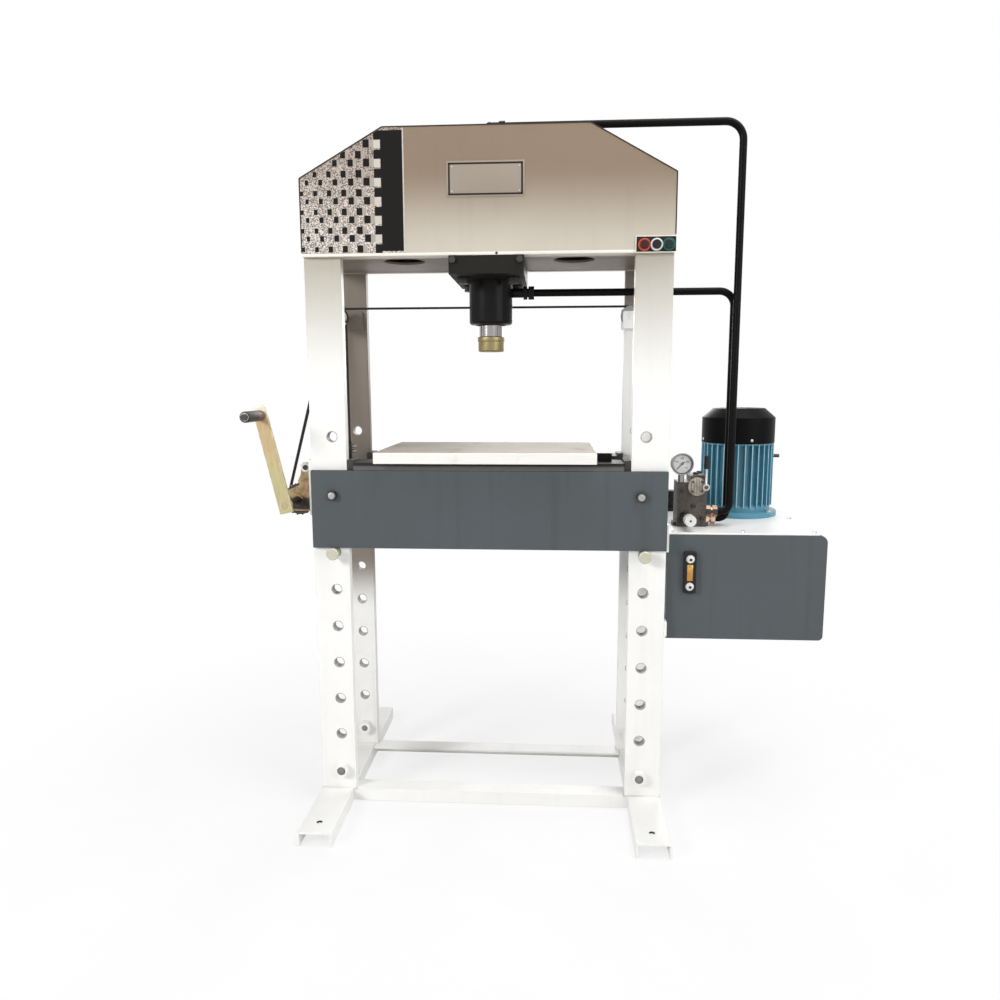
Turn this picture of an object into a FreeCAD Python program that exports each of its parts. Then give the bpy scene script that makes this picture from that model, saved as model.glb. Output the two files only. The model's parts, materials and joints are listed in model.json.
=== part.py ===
import FreeCAD, Part
import math, os

os.makedirs("parts", exist_ok=True)
V = FreeCAD.Vector
X, Y, Z = V(1, 0, 0), V(0, 1, 0), V(0, 0, 1)

# ---- driving dimensions in mm: X to the right, Y to the back, Z up from the floor ----
SEAT = 0.3            # gap between pieces that lie together on different bodies
RUNNING = 0.05        # radial clearance of a shaft in its hole

FRAME_WIDTH = 908.0
FRAME_DEPTH = 296.0
POST_WIDTH = 92.0
POST_THICK = 25.0
HOLE_DIA = 25.0
HOLE_INSET = 56.0
HOLE_PITCH = 100.0
HOLE_COUNT = 10
FIRST_HOLE_Z = 94.0
PIN_ROW = 6

FOOT_WIDTH = 87.0
FOOT_HEIGHT = 38.0
FOOT_WALL = 6.0
FOOT_INSET = 84.0
FOOT_FRONT = -370.0
FOOT_BACK = 397.0
ANCHOR_Y = 321.0
ANCHOR_R = 7.0
TIE_DEPTH = 50.0

HEADER_BOTTOM = 1436.0
SHOULDER_RISE = 185.0
HEADER_HEIGHT = 299.0
HEADER_TOP_WIDTH = 497.0
SHEET = 3.0
FASCIA_DEPTH = 14.0
FLOOR_SHEET = 6.0
HEADER_HOLE_GAP = 1.0
ACCESS_X = 216.0
ACCESS_Y = -68.0
ACCESS_R = 52.0

MOUNT_WIDTH = 184.0
MOUNT_HEIGHT = 44.0
MOUNT_BOLT_X = 62.0
MOUNT_BOLT_Y = 86.0
MOUNT_BOLT_R = 10.0
BOLT_PLAY = 0.5
FRONT_BOLT_X = 82.0
FRONT_BOLT_R = 4.0
FRONT_BOLT_RISE = 33.0
BARREL_R = 57.0
BORE_R = 40.0
BARREL_DROP = 155.0
BARREL_STAND = 10.0
BARREL_ROUND = 8.0
HEAD_FLANGE = 10.0
PORT_RISE = 82.0
GLAND_LENGTH = 64.0
GLAND_COLLAR = 27.0
ROD_R = 31.0
RAM_STROKE = 250.0
PISTON_LENGTH = 50.0
CAP_R = 35.5
CAP_DROP = 70.0
CAP_HEIGHT = 39.0
SPIGOT_R = 18.0
SPIGOT_DEPTH = 25.0
OIL_WAY_R = 5.0

PIPE_R = 9.5
UPPER_PIPE_Y = -26.0
ELBOW_RISE = 26.0
UPPER_PIPE_OUT = 173.0
UPPER_PIPE_BEND = 45.0
LOWER_PIPE_OUT = 171.0
LOWER_PIPE_BEND = 38.0
END_BEND = 20.0
UPPER_PORT_RISE = 41.0
LOWER_PORT_RISE = 18.0

WEB_HEIGHT = 202.2
WEB_THICK = 12.0
WEB_GAP = 0.4
FLANGE_DEPTH = 70.0
RIB_THICK = 12.0
RIB_INNER_X = 125.0
RIB_INSET = 23.0
BAR_THICK = 20.0
BAR_INSET = 17.0
BAR_DEPTH = 105.0
TABLE_WIDTH = 558.0
TABLE_LEFT = 5.0
TABLE_DEPTH = 380.0
TABLE_THICK = 28.0
STOP_SHARE = 0.6
STOP_BACK = 48.0
STOP_DEPTH = 44.0
STOP_HEIGHT = 21.0
GUIDE_DEPTH = 68.0
GUIDE_BACK = 2.0
GUIDE_HEIGHT = 26.0
GUIDE_GAP = 0.5
LUG_THICK = 12.0
LUG_PAST_EYE = 14.0
EYE_DROP = 24.0
EYE_R = 7.0
CLAMP_SHIFT = 11.0
CLAMP_RISE = 138.0
CLAMP_R = 8.0

PIN_HEAD_R = 16.0
PIN_HEAD_LENGTH = 10.0
PIN_HEAD_GAP = 24.0

ROPE_R = 3.0
SHEAVE_R = 25.0
SHEAVE_RIM = 29.0
SHEAVE_THICK = 10.0
SHEAVE_DROP = 128.0
LEFT_SHEAVE_INSET = 24.0
RIGHT_SHEAVE_INSET = 78.0
NEAR_ROPE_Y = 58.0
FAR_ROPE_Y = 70.0
AXLE_R = 6.0
BRACKET_THICK = 6.0
BRACKET_TOP = 22.0
BRACKET_BACK_X = 34.0
SHEAVE_GUARD = 3.0
GUARD_TOP = 12.0
GUARD_GAP = 2.0
FALL_RISE = 56.05

DRUM_OUT = 59.0
DRUM_Z = 822.0
COIL_R = 36.0
DRUM_FRONT = -70.0
DRUM_BACK = -10.0
DRUM_NEAR_Y = -52.0
FLANGE_R = 42.0
RATCHET_R = 44.0
RATCHET_TEETH = 18
SHAFT_R = 10.0
PIVOT_R = 5.0
RATCHET_THICK = 6.0
CHEEK = 5.0
MOUNT_PLATE = 8.0
CRANK_FRONT = -194.0
CRANK_THICK = 8.0
CRANK_WIDTH = 34.0
CRANK_REACH = 233.6
CRANK_TILT = 12.8
GRIP_R = 13.5
GRIP_LENGTH = 102.0
SPINDLE_R = 5.0
PAWL_IN = 24.0
PAWL_RISE = 87.0

PANEL_WIDTH = 94.0
PANEL_OUT = 1.0
PANEL_HEIGHT = 35.0
PANEL_RISE = 2.0
PANEL_THICK = 3.0
COLLAR_R = 14.2
COLLAR_HEIGHT = 4.0
BUTTON_R = 10.5
BUTTON_PITCH = 29.0
BUTTON_STROKE = 4.0

TANK_GAP = 7.0
TANK_WIDTH = 400.0
TANK_DEPTH = 470.0
TANK_FRONT = -128.0
TANK_BOTTOM = 470.0
TANK_TOP = 745.0
TANK_WALL = 3.0
TANK_TOP_ROUND = 20.0
TANK_LOW_ROUND = 12.0
LID_THICK = 4.0
FILLER_OUT = 61.0
FILLER_BACK = 371.0
FILLER_HOLE_R = 16.0

MOTOR_OUT = 242.0
MOTOR_BACK = 334.0
MOTOR_R = 101.0
FIN_COUNT = 32
FIN_THICK = 3.0
MOTOR_HEIGHT = 221.0
COWL_HEIGHT = 86.0
COWL_OUT = 1.0
COWL_SKIN = 2.5
COWL_SKIRT = 12.0
BOX_HALF = 48.0
BOX_OUT = 46.0
BOX_RISE = 70.0
BOX_HEIGHT = 96.0
STUB_RISE = 169.0
COWL_TOP_R = 72.5
MOTOR_SHAFT_R = 14.0
MOTOR_FLANGE_R = 115.0
STATOR_R = 60.0
BELL_R = 50.0

VALVE_OUT = 36.0
VALVE_WIDTH = 76.0
VALVE_INSET = 92.0
VALVE_DEPTH = 72.0
VALVE_HEIGHT = 138.0
VALVE_STEP = 19.0
COVER_OUT = 49.5
COVER_R = 24.0
PIPE_NUT_REACH = 29.0
GAUGE_OUT = 8.5
GAUGE_RISE = 49.0
GAUGE_R = 29.5
GAUGE_AHEAD = 12.0
GAUGE_DEPTH = 32.0
LEVER_IN = 6.0
LEVER_DROP = 30.0
KNOB_OUT = 21.0
KNOB_RISE = 29.0
LEVEL_OUT = 56.0
LEVEL_LOW_Z = 612.0
LEVEL_HIGH_Z = 683.5
LEVEL_SCREW_R = 6.0

# ---- lengths that follow from the ones above ----
HALF = FRAME_WIDTH / 2
FRONT = -FRAME_DEPTH / 2
BACK = FRAME_DEPTH / 2
POST_IN = HALF - POST_WIDTH
POST_INNER_Y = BACK - POST_THICK
HOLE_R = HOLE_DIA / 2
HOLE_X = HALF - HOLE_INSET
FOOT_INSIDE_X = HALF - FOOT_INSET
PIN_R = HOLE_R - RUNNING
PIN_Z = FIRST_HOLE_Z + PIN_ROW * HOLE_PITCH
WEB_BOTTOM = PIN_Z + PIN_R + SEAT
WEB_TOP = WEB_BOTTOM + WEB_HEIGHT
WEB_FACE = FRONT - WEB_GAP - WEB_THICK
BAR_TOP = WEB_TOP + BAR_THICK
BAR_HALF = POST_IN - BAR_INSET
RIB_OUTER_X = POST_IN - RIB_INSET
TABLE_TOP = BAR_TOP + TABLE_THICK
TABLE_X1 = TABLE_WIDTH / 2 - TABLE_LEFT
STOP_X0 = TABLE_X1 + SEAT
STOP_X1 = STOP_X0 + (BAR_HALF - STOP_X0) * STOP_SHARE
CLAMP_X = (-HOLE_X, HOLE_X - CLAMP_SHIFT)
CLAMP_Z = WEB_BOTTOM + CLAMP_RISE
SHOULDER_Z = HEADER_BOTTOM + SHOULDER_RISE
HEADER_TOP = HEADER_BOTTOM + HEADER_HEIGHT
MOUNT_BOTTOM = HEADER_BOTTOM - MOUNT_HEIGHT
BARREL_BOTTOM = HEADER_BOTTOM - BARREL_DROP
BARREL_TOP = HEADER_TOP + BARREL_STAND
PORT_Z = BARREL_BOTTOM + PORT_RISE
GLAND_TOP = BARREL_BOTTOM + GLAND_LENGTH
CAP_BOTTOM = BARREL_BOTTOM - CAP_DROP
ROD_TOP = GLAND_TOP + GLAND_COLLAR + RAM_STROKE
PANEL_FACE = FRONT - FASCIA_DEPTH
PANEL_X1 = HALF + PANEL_OUT
PANEL_X0 = PANEL_X1 - PANEL_WIDTH
PANEL_Z0 = HEADER_BOTTOM + PANEL_RISE
PANEL_Z1 = PANEL_Z0 + PANEL_HEIGHT
SHEAVE_Z = HEADER_BOTTOM - SHEAVE_DROP
SHEAVE_HUB = SHEAVE_THICK / 2 + 0.7
LEFT_SHEAVE_X = LEFT_SHEAVE_INSET - HALF
RIGHT_SHEAVE_X = HALF - RIGHT_SHEAVE_INSET
FALL_BOTTOM = WEB_TOP + FALL_RISE
DRUM_X = -HALF - DRUM_OUT
DRUM_FAR_Y = DRUM_NEAR_Y + 2 * ROPE_R + 2 * SEAT
CORE_R = COIL_R - ROPE_R - SEAT
PAWL_X = DRUM_X + PAWL_IN
PAWL_Z = DRUM_Z + PAWL_RISE
CRANK_DIR = V(-math.sin(math.radians(CRANK_TILT)), 0, math.cos(math.radians(CRANK_TILT)))
TANK_X0 = HALF + TANK_GAP
TANK_X1 = TANK_X0 + TANK_WIDTH
TANK_BACK = TANK_FRONT + TANK_DEPTH
LID_TOP = TANK_TOP + LID_THICK
LEVEL_X = TANK_X0 + LEVEL_OUT
FILLER_X = TANK_X0 + FILLER_OUT
FILLER_Y = TANK_FRONT + FILLER_BACK
MOTOR_X = TANK_X0 + MOTOR_OUT
MOTOR_Y = TANK_FRONT + MOTOR_BACK
COWL_Z = LID_TOP + MOTOR_HEIGHT
COWL_R = MOTOR_R + COWL_OUT
COWL_SEAT = COWL_R - COWL_SKIN - SEAT
VALVE_X0 = TANK_X0 + VALVE_OUT
VALVE_X1 = VALVE_X0 + VALVE_WIDTH
VALVE_FRONT = TANK_FRONT + VALVE_INSET
VALVE_BACK = VALVE_FRONT + VALVE_DEPTH
VALVE_TOP = LID_TOP + VALVE_HEIGHT
VALVE_SHELF = VALVE_TOP - VALVE_STEP
COVER_X = VALVE_X0 + COVER_OUT
GAUGE_X = VALVE_X0 + GAUGE_OUT
GAUGE_Z = VALVE_SHELF + GAUGE_RISE
GAUGE_FRONT = VALVE_FRONT - GAUGE_AHEAD
LEVER_X = VALVE_X1 - LEVER_IN
LEVER_Z = VALVE_TOP - LEVER_DROP
KNOB_X = VALVE_X0 + KNOB_OUT
KNOB_Z = LID_TOP + KNOB_RISE
UPPER_PIPE_X = TANK_X0 + UPPER_PIPE_OUT
UPPER_PIPE_Z = BARREL_TOP + ELBOW_RISE
LOWER_PIPE_X = TANK_X0 + LOWER_PIPE_OUT
UPPER_PORT_Z = LID_TOP + UPPER_PORT_RISE
LOWER_PORT_Z = LID_TOP + LOWER_PORT_RISE
PIPE_END_X = VALVE_X1 + PIPE_NUT_REACH


# ---- shape helpers ----
def slab(x0, x1, y0, y1, z0, z1):
    return Part.makeBox(x1 - x0, y1 - y0, z1 - z0, V(x0, y0, z0))


def rod(radius, base, axis, length):
    return Part.makeCylinder(radius, length, base, axis)


def ring(outer, inner, base, axis, length):
    return rod(outer, base, axis, length).cut(rod(inner, base, axis, length))


def hex_bar(flats, base, axis, length):
    """A hexagonal prism, across flats, standing on base along axis."""
    corner = flats / math.sqrt(3)
    ends = [V(corner * math.cos(math.radians(60 * k)), corner * math.sin(math.radians(60 * k)), 0)
            for k in range(7)]
    prism = Part.Face(Part.makePolygon(ends)).extrude(Z * length)
    prism.Placement = FreeCAD.Placement(base, FreeCAD.Rotation(Z, axis))
    return prism


def extruded(points, along):
    """A flat outline of vectors pushed along a vector."""
    return Part.Face(Part.makePolygon(points + points[:1])).extrude(along)


def front_outline(points, y0, y1):
    """An outline of (x, z) pairs from y0 to y1."""
    return extruded([V(x, y0, z) for x, z in points], Y * (y1 - y0))


def turned(profile, base, axis):
    """A solid of revolution: (radius, height) pairs round axis from base."""
    points = [V(r, 0, h) for r, h in profile]
    solid = Part.Face(Part.makePolygon(points + points[:1])).revolve(V(0, 0, 0), Z, 360)
    solid.Placement = FreeCAD.Placement(base, FreeCAD.Rotation(Z, axis))
    return solid


def joined(shapes):
    return shapes[0].multiFuse(shapes[1:]).removeSplitter() if len(shapes) > 1 else shapes[0]


def apart(shapes):
    """Separate solids kept in one node."""
    return Part.makeCompound([s for shape in shapes for s in shape.Solids])


def flipped_x(shape):
    return shape.mirror(V(0, 0, 0), X)


def flipped_y(shape):
    return shape.mirror(V(0, 0, 0), Y)


def softened(shape, radius, pick):
    """Rounds the straight edges whose middle point and direction pick accepts."""
    edges = [e for e in shape.Edges
             if pick(e.CenterOfMass, (e.Vertexes[-1].Point - e.Vertexes[0].Point))]
    return shape.makeFillet(radius, edges)


def route(points, bends):
    """Straight runs joined by tangent arcs, one bend radius for each inner corner."""
    edges = []
    start = points[0]
    for before, corner, after, radius in zip(points, points[1:], points[2:], bends):
        to_before = (before - corner).normalize()
        to_after = (after - corner).normalize()
        half = to_before.getAngle(to_after) / 2
        reach = radius / math.tan(half)
        first = corner + to_before * reach
        last = corner + to_after * reach
        middle = corner + (to_before + to_after).normalize() * (radius / math.sin(half) - radius)
        if start.distanceToPoint(first) > 0.01:
            edges.append(Part.makeLine(start, first))
        edges.append(Part.Arc(first, middle, last).toShape())
        start = last
    if start.distanceToPoint(points[-1]) > 0.01:
        edges.append(Part.makeLine(start, points[-1]))
    return edges


def swept(edges, radius, start, heading):
    """A round bar of the given radius along joined edges."""
    section = Part.Wire(Part.makeCircle(radius, start, heading))
    return Part.Wire(edges).makePipeShell([section], True, True)


def save(name, shape):
    shape.exportStep("parts/" + name + ".step")


# ---- frame ----
def hole_heights():
    return [FIRST_HOLE_Z + HOLE_PITCH * k for k in range(HOLE_COUNT)]


def front_left_post():
    plate = slab(-HALF, -POST_IN, FRONT, -POST_INNER_Y, FOOT_HEIGHT, HEADER_BOTTOM)
    return plate.cut(joined([rod(HOLE_R, V(-HOLE_X, FRONT - 1, z), Y, POST_THICK + 2)
                             for z in hole_heights()]))


def header_outline(inset, lift):
    """The header's six-sided front outline, taken in by inset at sides, slopes and top."""
    top_half = HEADER_TOP_WIDTH / 2
    run = HALF - top_half
    rise = HEADER_TOP - SHOULDER_Z
    length = math.hypot(run, rise)
    nx, nz = rise / length, run / length
    reach = nx * HALF + nz * SHOULDER_Z - inset
    side = HALF - inset
    top = HEADER_TOP - inset
    shoulder = (reach - nx * side) / nz
    corner = (reach - nz * top) / nx
    bottom = HEADER_BOTTOM + lift
    return [(-side, bottom), (side, bottom), (side, shoulder), (corner, top), (-corner, top),
            (-side, shoulder)]


def front_header():
    return front_outline(header_outline(SHEET, 0), FRONT, -POST_INNER_Y)


def fascia():
    """The pressed cover in front of the header: a face with a lip all round."""
    face = PANEL_FACE
    pan = front_outline(header_outline(0, 0), face, FRONT)
    pan = pan.cut(front_outline(header_outline(SHEET, SHEET), face + SHEET, FRONT + 1))
    return pan.cut(joined([rod(BUTTON_R + BOLT_PLAY, V(x, face - 1, button_z()), Y, SHEET + 2)
                           for x in button_centres()]))


def header_roof():
    """The folded sheet that closes the header's top, slopes and ends."""
    shell = front_outline(header_outline(0, 0), FRONT, BACK)
    shell = shell.cut(front_outline(header_outline(SHEET, -1), FRONT - 1, BACK + 1))
    return shell.cut(rod(BARREL_R + SHEET, V(0, 0, HEADER_TOP - 10), Z, 20))


def header_floor():
    """The sheet under the header, with the barrel's hole and two access holes."""
    side = HALF - SHEET
    sheet = slab(-side, side, -POST_INNER_Y, POST_INNER_Y, HEADER_BOTTOM,
                 HEADER_BOTTOM + FLOOR_SHEET)
    cuts = [rod(BARREL_R + HEADER_HOLE_GAP, V(0, 0, HEADER_BOTTOM - 1), Z, FLOOR_SHEET + 2)]
    cuts += [rod(ACCESS_R, V(x, ACCESS_Y, HEADER_BOTTOM - 1), Z, FLOOR_SHEET + 2)
             for x in (-ACCESS_X, ACCESS_X)]
    cuts += [rod(MOUNT_BOLT_R + BOLT_PLAY, V(x, y, HEADER_BOTTOM - 1), Z, FLOOR_SHEET + 2)
             for x, y in mount_bolt_places()]
    return sheet.cut(joined(cuts))


def right_foot():
    """An inverted channel with an anchor hole near each end."""
    outside = FOOT_INSIDE_X + FOOT_WIDTH
    body = slab(FOOT_INSIDE_X, outside, FOOT_FRONT, FOOT_BACK, 0, FOOT_HEIGHT)
    body = softened(body, 4.0, lambda c, d: abs(d.y) > 100 and c.z > 1)
    inner = slab(FOOT_INSIDE_X + FOOT_WALL, outside - FOOT_WALL, FOOT_FRONT - 1, FOOT_BACK + 1,
                 -1, FOOT_HEIGHT - FOOT_WALL)
    centre = FOOT_INSIDE_X + FOOT_WIDTH / 2
    holes = joined([rod(ANCHOR_R, V(centre, y, 0), Z, FOOT_HEIGHT + 1)
                    for y in (-ANCHOR_Y, ANCHOR_Y)])
    return body.cut(inner).cut(holes)


def front_tie():
    """An angle between the feet: one leg down, one leg back."""
    end = FOOT_INSIDE_X
    down = slab(-end, end, FRONT, FRONT + FOOT_WALL, 4, FOOT_HEIGHT)
    flat = slab(-end, end, FRONT, FRONT + TIE_DEPTH, FOOT_HEIGHT - FOOT_WALL, FOOT_HEIGHT)
    return joined([down, flat])


def bolt(flats, shank_r, base, axis, grip, nut=0.0):
    """A hex head outside base, its shank along axis, and a nut past grip if asked."""
    head = hex_bar(flats, base - axis * (flats * 0.5), axis, flats * 0.5)
    shank = rod(shank_r, base - axis * 1, axis, grip + nut + 1)
    pieces = [head, shank]
    if nut:
        pieces.append(hex_bar(flats, base + axis * grip, axis, nut))
    return joined(pieces)


def mount_bolt_places():
    return [(x, y) for x in (-MOUNT_BOLT_X, MOUNT_BOLT_X) for y in (-MOUNT_BOLT_Y, MOUNT_BOLT_Y)]


def front_bolt_places():
    return [(x, PANEL_FACE, MOUNT_BOTTOM + FRONT_BOLT_RISE) for x in (-FRONT_BOLT_X, FRONT_BOLT_X)]


def frame_bolts():
    low = hole_heights()[0]
    bolts = []
    for x in (-HOLE_X, HOLE_X):
        for y in (FRONT, POST_INNER_Y):
            bolts.append(bolt(34.0, HOLE_R - BOLT_PLAY, V(x, y, low), Y, POST_THICK, 16.0))
    for x, y in mount_bolt_places():
        bolts.append(bolt(30.0, MOUNT_BOLT_R, V(x, y, MOUNT_BOTTOM), Z,
                          MOUNT_HEIGHT + FLOOR_SHEET, 16.0))
    for x, y, z in front_bolt_places():
        bolts.append(bolt(15.0, FRONT_BOLT_R, V(x, y, z), Y, 12.0))
    return apart(bolts)


# ---- cylinder ----
def cylinder_mount():
    half = MOUNT_WIDTH / 2
    block = slab(-half, half, PANEL_FACE, BACK, MOUNT_BOTTOM, HEADER_BOTTOM)
    block = softened(block, 3.0, lambda c, d: abs(d.z) > 20 and c.y < 0)
    cuts = [rod(BARREL_R, V(0, 0, MOUNT_BOTTOM - 1), Z, MOUNT_HEIGHT + 2)]
    cuts += [rod(MOUNT_BOLT_R + BOLT_PLAY, V(x, y, MOUNT_BOTTOM - 1), Z, MOUNT_HEIGHT + 2)
             for x, y in mount_bolt_places()]
    cuts += [rod(FRONT_BOLT_R, V(x, y - 1, z), Y, 13.0) for x, y, z in front_bolt_places()]
    return block.cut(joined(cuts))


def barrel():
    corner = [(BARREL_R - BARREL_ROUND * (1 - math.cos(a)),
               BARREL_BOTTOM + BARREL_ROUND * (1 - math.sin(a)))
              for a in [math.radians(15 * k) for k in range(7)]]
    profile = [(BORE_R, BARREL_BOTTOM)] + corner[::-1]
    profile += [(BARREL_R, BARREL_TOP), (BORE_R, BARREL_TOP)]
    port = rod(OIL_WAY_R, V(BORE_R - 5, 0, PORT_Z), X, BARREL_R - BORE_R + 10)
    return turned(profile, V(0, 0, 0), Z).cut(port)


def cylinder_head():
    """The plug that closes the barrel's top, drilled for the upper port."""
    plug_bottom = ROD_TOP + PISTON_LENGTH + 8
    flange_top = BARREL_TOP + HEAD_FLANGE
    head = turned([(0, plug_bottom), (BORE_R, plug_bottom), (BORE_R, BARREL_TOP),
                   (BARREL_R - 4, BARREL_TOP), (BARREL_R - 4, flange_top - 3),
                   (BARREL_R - 7, flange_top), (0, flange_top)], V(0, 0, 0), Z)
    way = rod(OIL_WAY_R, V(0, UPPER_PIPE_Y, plug_bottom - 1), Z, flange_top - plug_bottom + 2)
    return head.cut(way)


def rod_gland():
    """The bushing at the barrel's mouth, with a collar that stops the piston."""
    stop = ROD_TOP - RAM_STROKE - 1
    return turned([(ROD_R + RUNNING, BARREL_BOTTOM + 2), (BORE_R, BARREL_BOTTOM + 2),
                   (BORE_R, GLAND_TOP), (BORE_R - 4, GLAND_TOP), (BORE_R - 4, stop),
                   (ROD_R + RUNNING, stop)], V(0, 0, 0), Z)


def piston_rod():
    cap_top = CAP_BOTTOM + CAP_HEIGHT
    crown = ROD_TOP + PISTON_LENGTH
    spigot = cap_top - SPIGOT_DEPTH
    return turned([(0, spigot), (SPIGOT_R, spigot), (SPIGOT_R, cap_top), (ROD_R, cap_top),
                   (ROD_R, ROD_TOP), (BORE_R - RUNNING, ROD_TOP), (BORE_R - RUNNING, crown),
                   (0, crown)], V(0, 0, 0), Z)


def ram_cap():
    top = CAP_BOTTOM + CAP_HEIGHT
    return turned([(0, CAP_BOTTOM), (CAP_R - 4, CAP_BOTTOM), (CAP_R - 1.5, CAP_BOTTOM + 2.5),
                   (CAP_R - 1.5, top - 13), (CAP_R, top - 11.5), (CAP_R, top - 1.5),
                   (CAP_R - 1.5, top), (SPIGOT_R, top), (SPIGOT_R, top - SPIGOT_DEPTH),
                   (0, top - SPIGOT_DEPTH)],
                  V(0, 0, 0), Z)


def port_fittings():
    low = joined([rod(12.0, V(BARREL_R - 0.5, 0, PORT_Z), X, 33.0),
                  hex_bar(30.0, V(BARREL_R + 29, 0, PORT_Z), X, 10.0),
                  rod(11.5, V(BARREL_R + 39, 0, PORT_Z), X, 3.0),
                  hex_bar(30.0, V(BARREL_R + 42, 0, PORT_Z), X, 15.0)])
    low = low.cut(rod(BARREL_R, V(0, 0, PORT_Z - 30), Z, 60)).cut(
        rod(OIL_WAY_R, V(BARREL_R - 2, 0, PORT_Z), X, 62.0))
    base = V(0, UPPER_PIPE_Y, BARREL_TOP + HEAD_FLANGE)
    bend = V(0, UPPER_PIPE_Y, UPPER_PIPE_Z)
    high = joined([rod(9.0, base, Z, UPPER_PIPE_Z - base.z), Part.makeSphere(11.0, bend),
                   rod(10.0, bend, X, 24.0), hex_bar(24.0, bend + X * 24, X, 16.0)])
    high = high.cut(rod(OIL_WAY_R, bend, X, 41.0)).cut(rod(OIL_WAY_R, base - Z, Z, 12.0))
    return apart([low, high])


def upper_pipe():
    start = V(40, UPPER_PIPE_Y, UPPER_PIPE_Z)
    points = [start, V(UPPER_PIPE_X, UPPER_PIPE_Y, UPPER_PIPE_Z),
              V(UPPER_PIPE_X, UPPER_PIPE_Y, UPPER_PORT_Z), V(PIPE_END_X, UPPER_PIPE_Y, UPPER_PORT_Z)]
    return swept(route(points, [UPPER_PIPE_BEND, END_BEND]), PIPE_R, start, X)


def lower_pipe():
    start = V(BARREL_R + 57, 0, PORT_Z)
    points = [start, V(LOWER_PIPE_X, 0, PORT_Z), V(LOWER_PIPE_X, 0, LOWER_PORT_Z),
              V(PIPE_END_X, 0, LOWER_PORT_Z)]
    return swept(route(points, [LOWER_PIPE_BEND, END_BEND]), PIPE_R, start, X)


# ---- bolster ----
def front_channel():
    """The front web with flanges that fit between the posts and holes for the clamp screws."""
    outer = WEB_FACE
    reach = FRONT + FLANGE_DEPTH
    end = POST_IN - 1
    web = slab(-HALF, HALF, outer, outer + WEB_THICK, WEB_BOTTOM, WEB_TOP)
    low = slab(-end, end, outer, reach, WEB_BOTTOM, WEB_BOTTOM + WEB_THICK)
    high = slab(-end, end, outer, reach, WEB_TOP - WEB_THICK, WEB_TOP)
    body = joined([web, low, high])
    return body.cut(joined([rod(CLAMP_R + BOLT_PLAY, V(x, outer - 1, CLAMP_Z), Y, WEB_THICK + 2)
                            for x in CLAMP_X]))


def bolster_ribs():
    """Four cross plates between the webs; the outer two carry the lifting lugs."""
    low = WEB_BOTTOM + WEB_THICK
    high = WEB_TOP - WEB_THICK
    side = BACK + WEB_GAP
    ribs = [slab(x - RIB_THICK / 2, x + RIB_THICK / 2, -side, side, low, high)
            for x in (-RIB_INNER_X, RIB_INNER_X)]
    for x, y, edge in lug_places():
        rib = slab(x - RIB_THICK / 2, x + RIB_THICK / 2, -side, side, low, high)
        x0, x1 = sorted((x, edge + math.copysign(LUG_PAST_EYE, x)))
        lug = slab(x0, x1, y - LUG_THICK / 2, y + LUG_THICK / 2, high - 45, high - 3)
        lug = softened(lug, 8.0, lambda c, d: abs(d.y) > 5 and abs(c.x) > abs(x) + 20)
        ribs.append(joined([rib, lug]).cut(rod(EYE_R, V(edge, y - 20, eye_z()), Y, 40)))
    return apart(ribs)


def eye_z():
    return WEB_TOP - EYE_DROP


def lug_places():
    """Rib X, rope Y and rope X of the left and the right fall."""
    return [(-RIB_OUTER_X, NEAR_ROPE_Y, LEFT_SHEAVE_X + SHEAVE_R),
            (RIB_OUTER_X, FAR_ROPE_Y, RIGHT_SHEAVE_X + SHEAVE_R)]


def clamp_screws():
    front = [bolt(24.0, CLAMP_R, V(x, WEB_FACE, CLAMP_Z), Y, WEB_THICK) for x in CLAMP_X]
    return apart(front + [flipped_y(screw) for screw in front])


def support_bars():
    front = slab(-BAR_HALF, BAR_HALF, FRONT - 12, FRONT - 12 + BAR_DEPTH, WEB_TOP, BAR_TOP)
    front = softened(front, 10.0, lambda c, d: abs(d.z) > 10)
    return apart([front, flipped_y(front)])


def table_plate():
    half_y = TABLE_DEPTH / 2
    plate = slab(TABLE_X1 - TABLE_WIDTH, TABLE_X1, -half_y, half_y, BAR_TOP, TABLE_TOP)
    edges = [e for e in plate.Edges if e.CenterOfMass.z > TABLE_TOP - 1]
    return plate.makeChamfer(1.5, edges)


def stop_block():
    y0 = FRONT + STOP_BACK
    block = slab(STOP_X0, STOP_X1, y0, y0 + STOP_DEPTH, BAR_TOP, BAR_TOP + STOP_HEIGHT)
    return block.makeFillet(2.0, [e for e in block.Edges if e.CenterOfMass.z > BAR_TOP + STOP_HEIGHT - 1])


def guide_blocks():
    inner, outer = BAR_HALF + SEAT, POST_IN - GUIDE_GAP
    blocks = []
    for y0 in (FRONT + GUIDE_BACK, BACK - GUIDE_BACK - GUIDE_DEPTH):
        right = slab(inner, outer, y0, y0 + GUIDE_DEPTH, WEB_TOP, WEB_TOP + GUIDE_HEIGHT)
        blocks += [right, flipped_x(right)]
    return apart(blocks)


def left_pin():
    """A headed pin through both posts on one side."""
    head = FRONT - PIN_HEAD_GAP
    tip = BACK + WEB_GAP + WEB_THICK + 14
    return turned([(0, 0), (PIN_HEAD_R - 2, 0), (PIN_HEAD_R, 2), (PIN_HEAD_R, PIN_HEAD_LENGTH),
                   (PIN_R, PIN_HEAD_LENGTH), (PIN_R, tip - head + 6), (PIN_R - 4, tip - head + 10),
                   (0, tip - head + 10)],
                  V(-HOLE_X, head - PIN_HEAD_LENGTH, PIN_Z), Y)


# ---- hoist ----
def tangent_normal(near, near_r, far, far_r):
    """Unit normal on the left of the line that touches two circles in the XZ plane."""
    gap = far - near
    length = gap.Length
    along = gap * (1 / length)
    left = V(-along.z, 0, along.x)
    share = (near_r - far_r) / length
    return along * share + left * math.sqrt(1 - share * share)


def corner_of(centre, radius, first, second):
    """Where the tangents at two points of a circle meet."""
    return centre + (first + second) * (radius / (1 + first.dot(second)))


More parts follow.
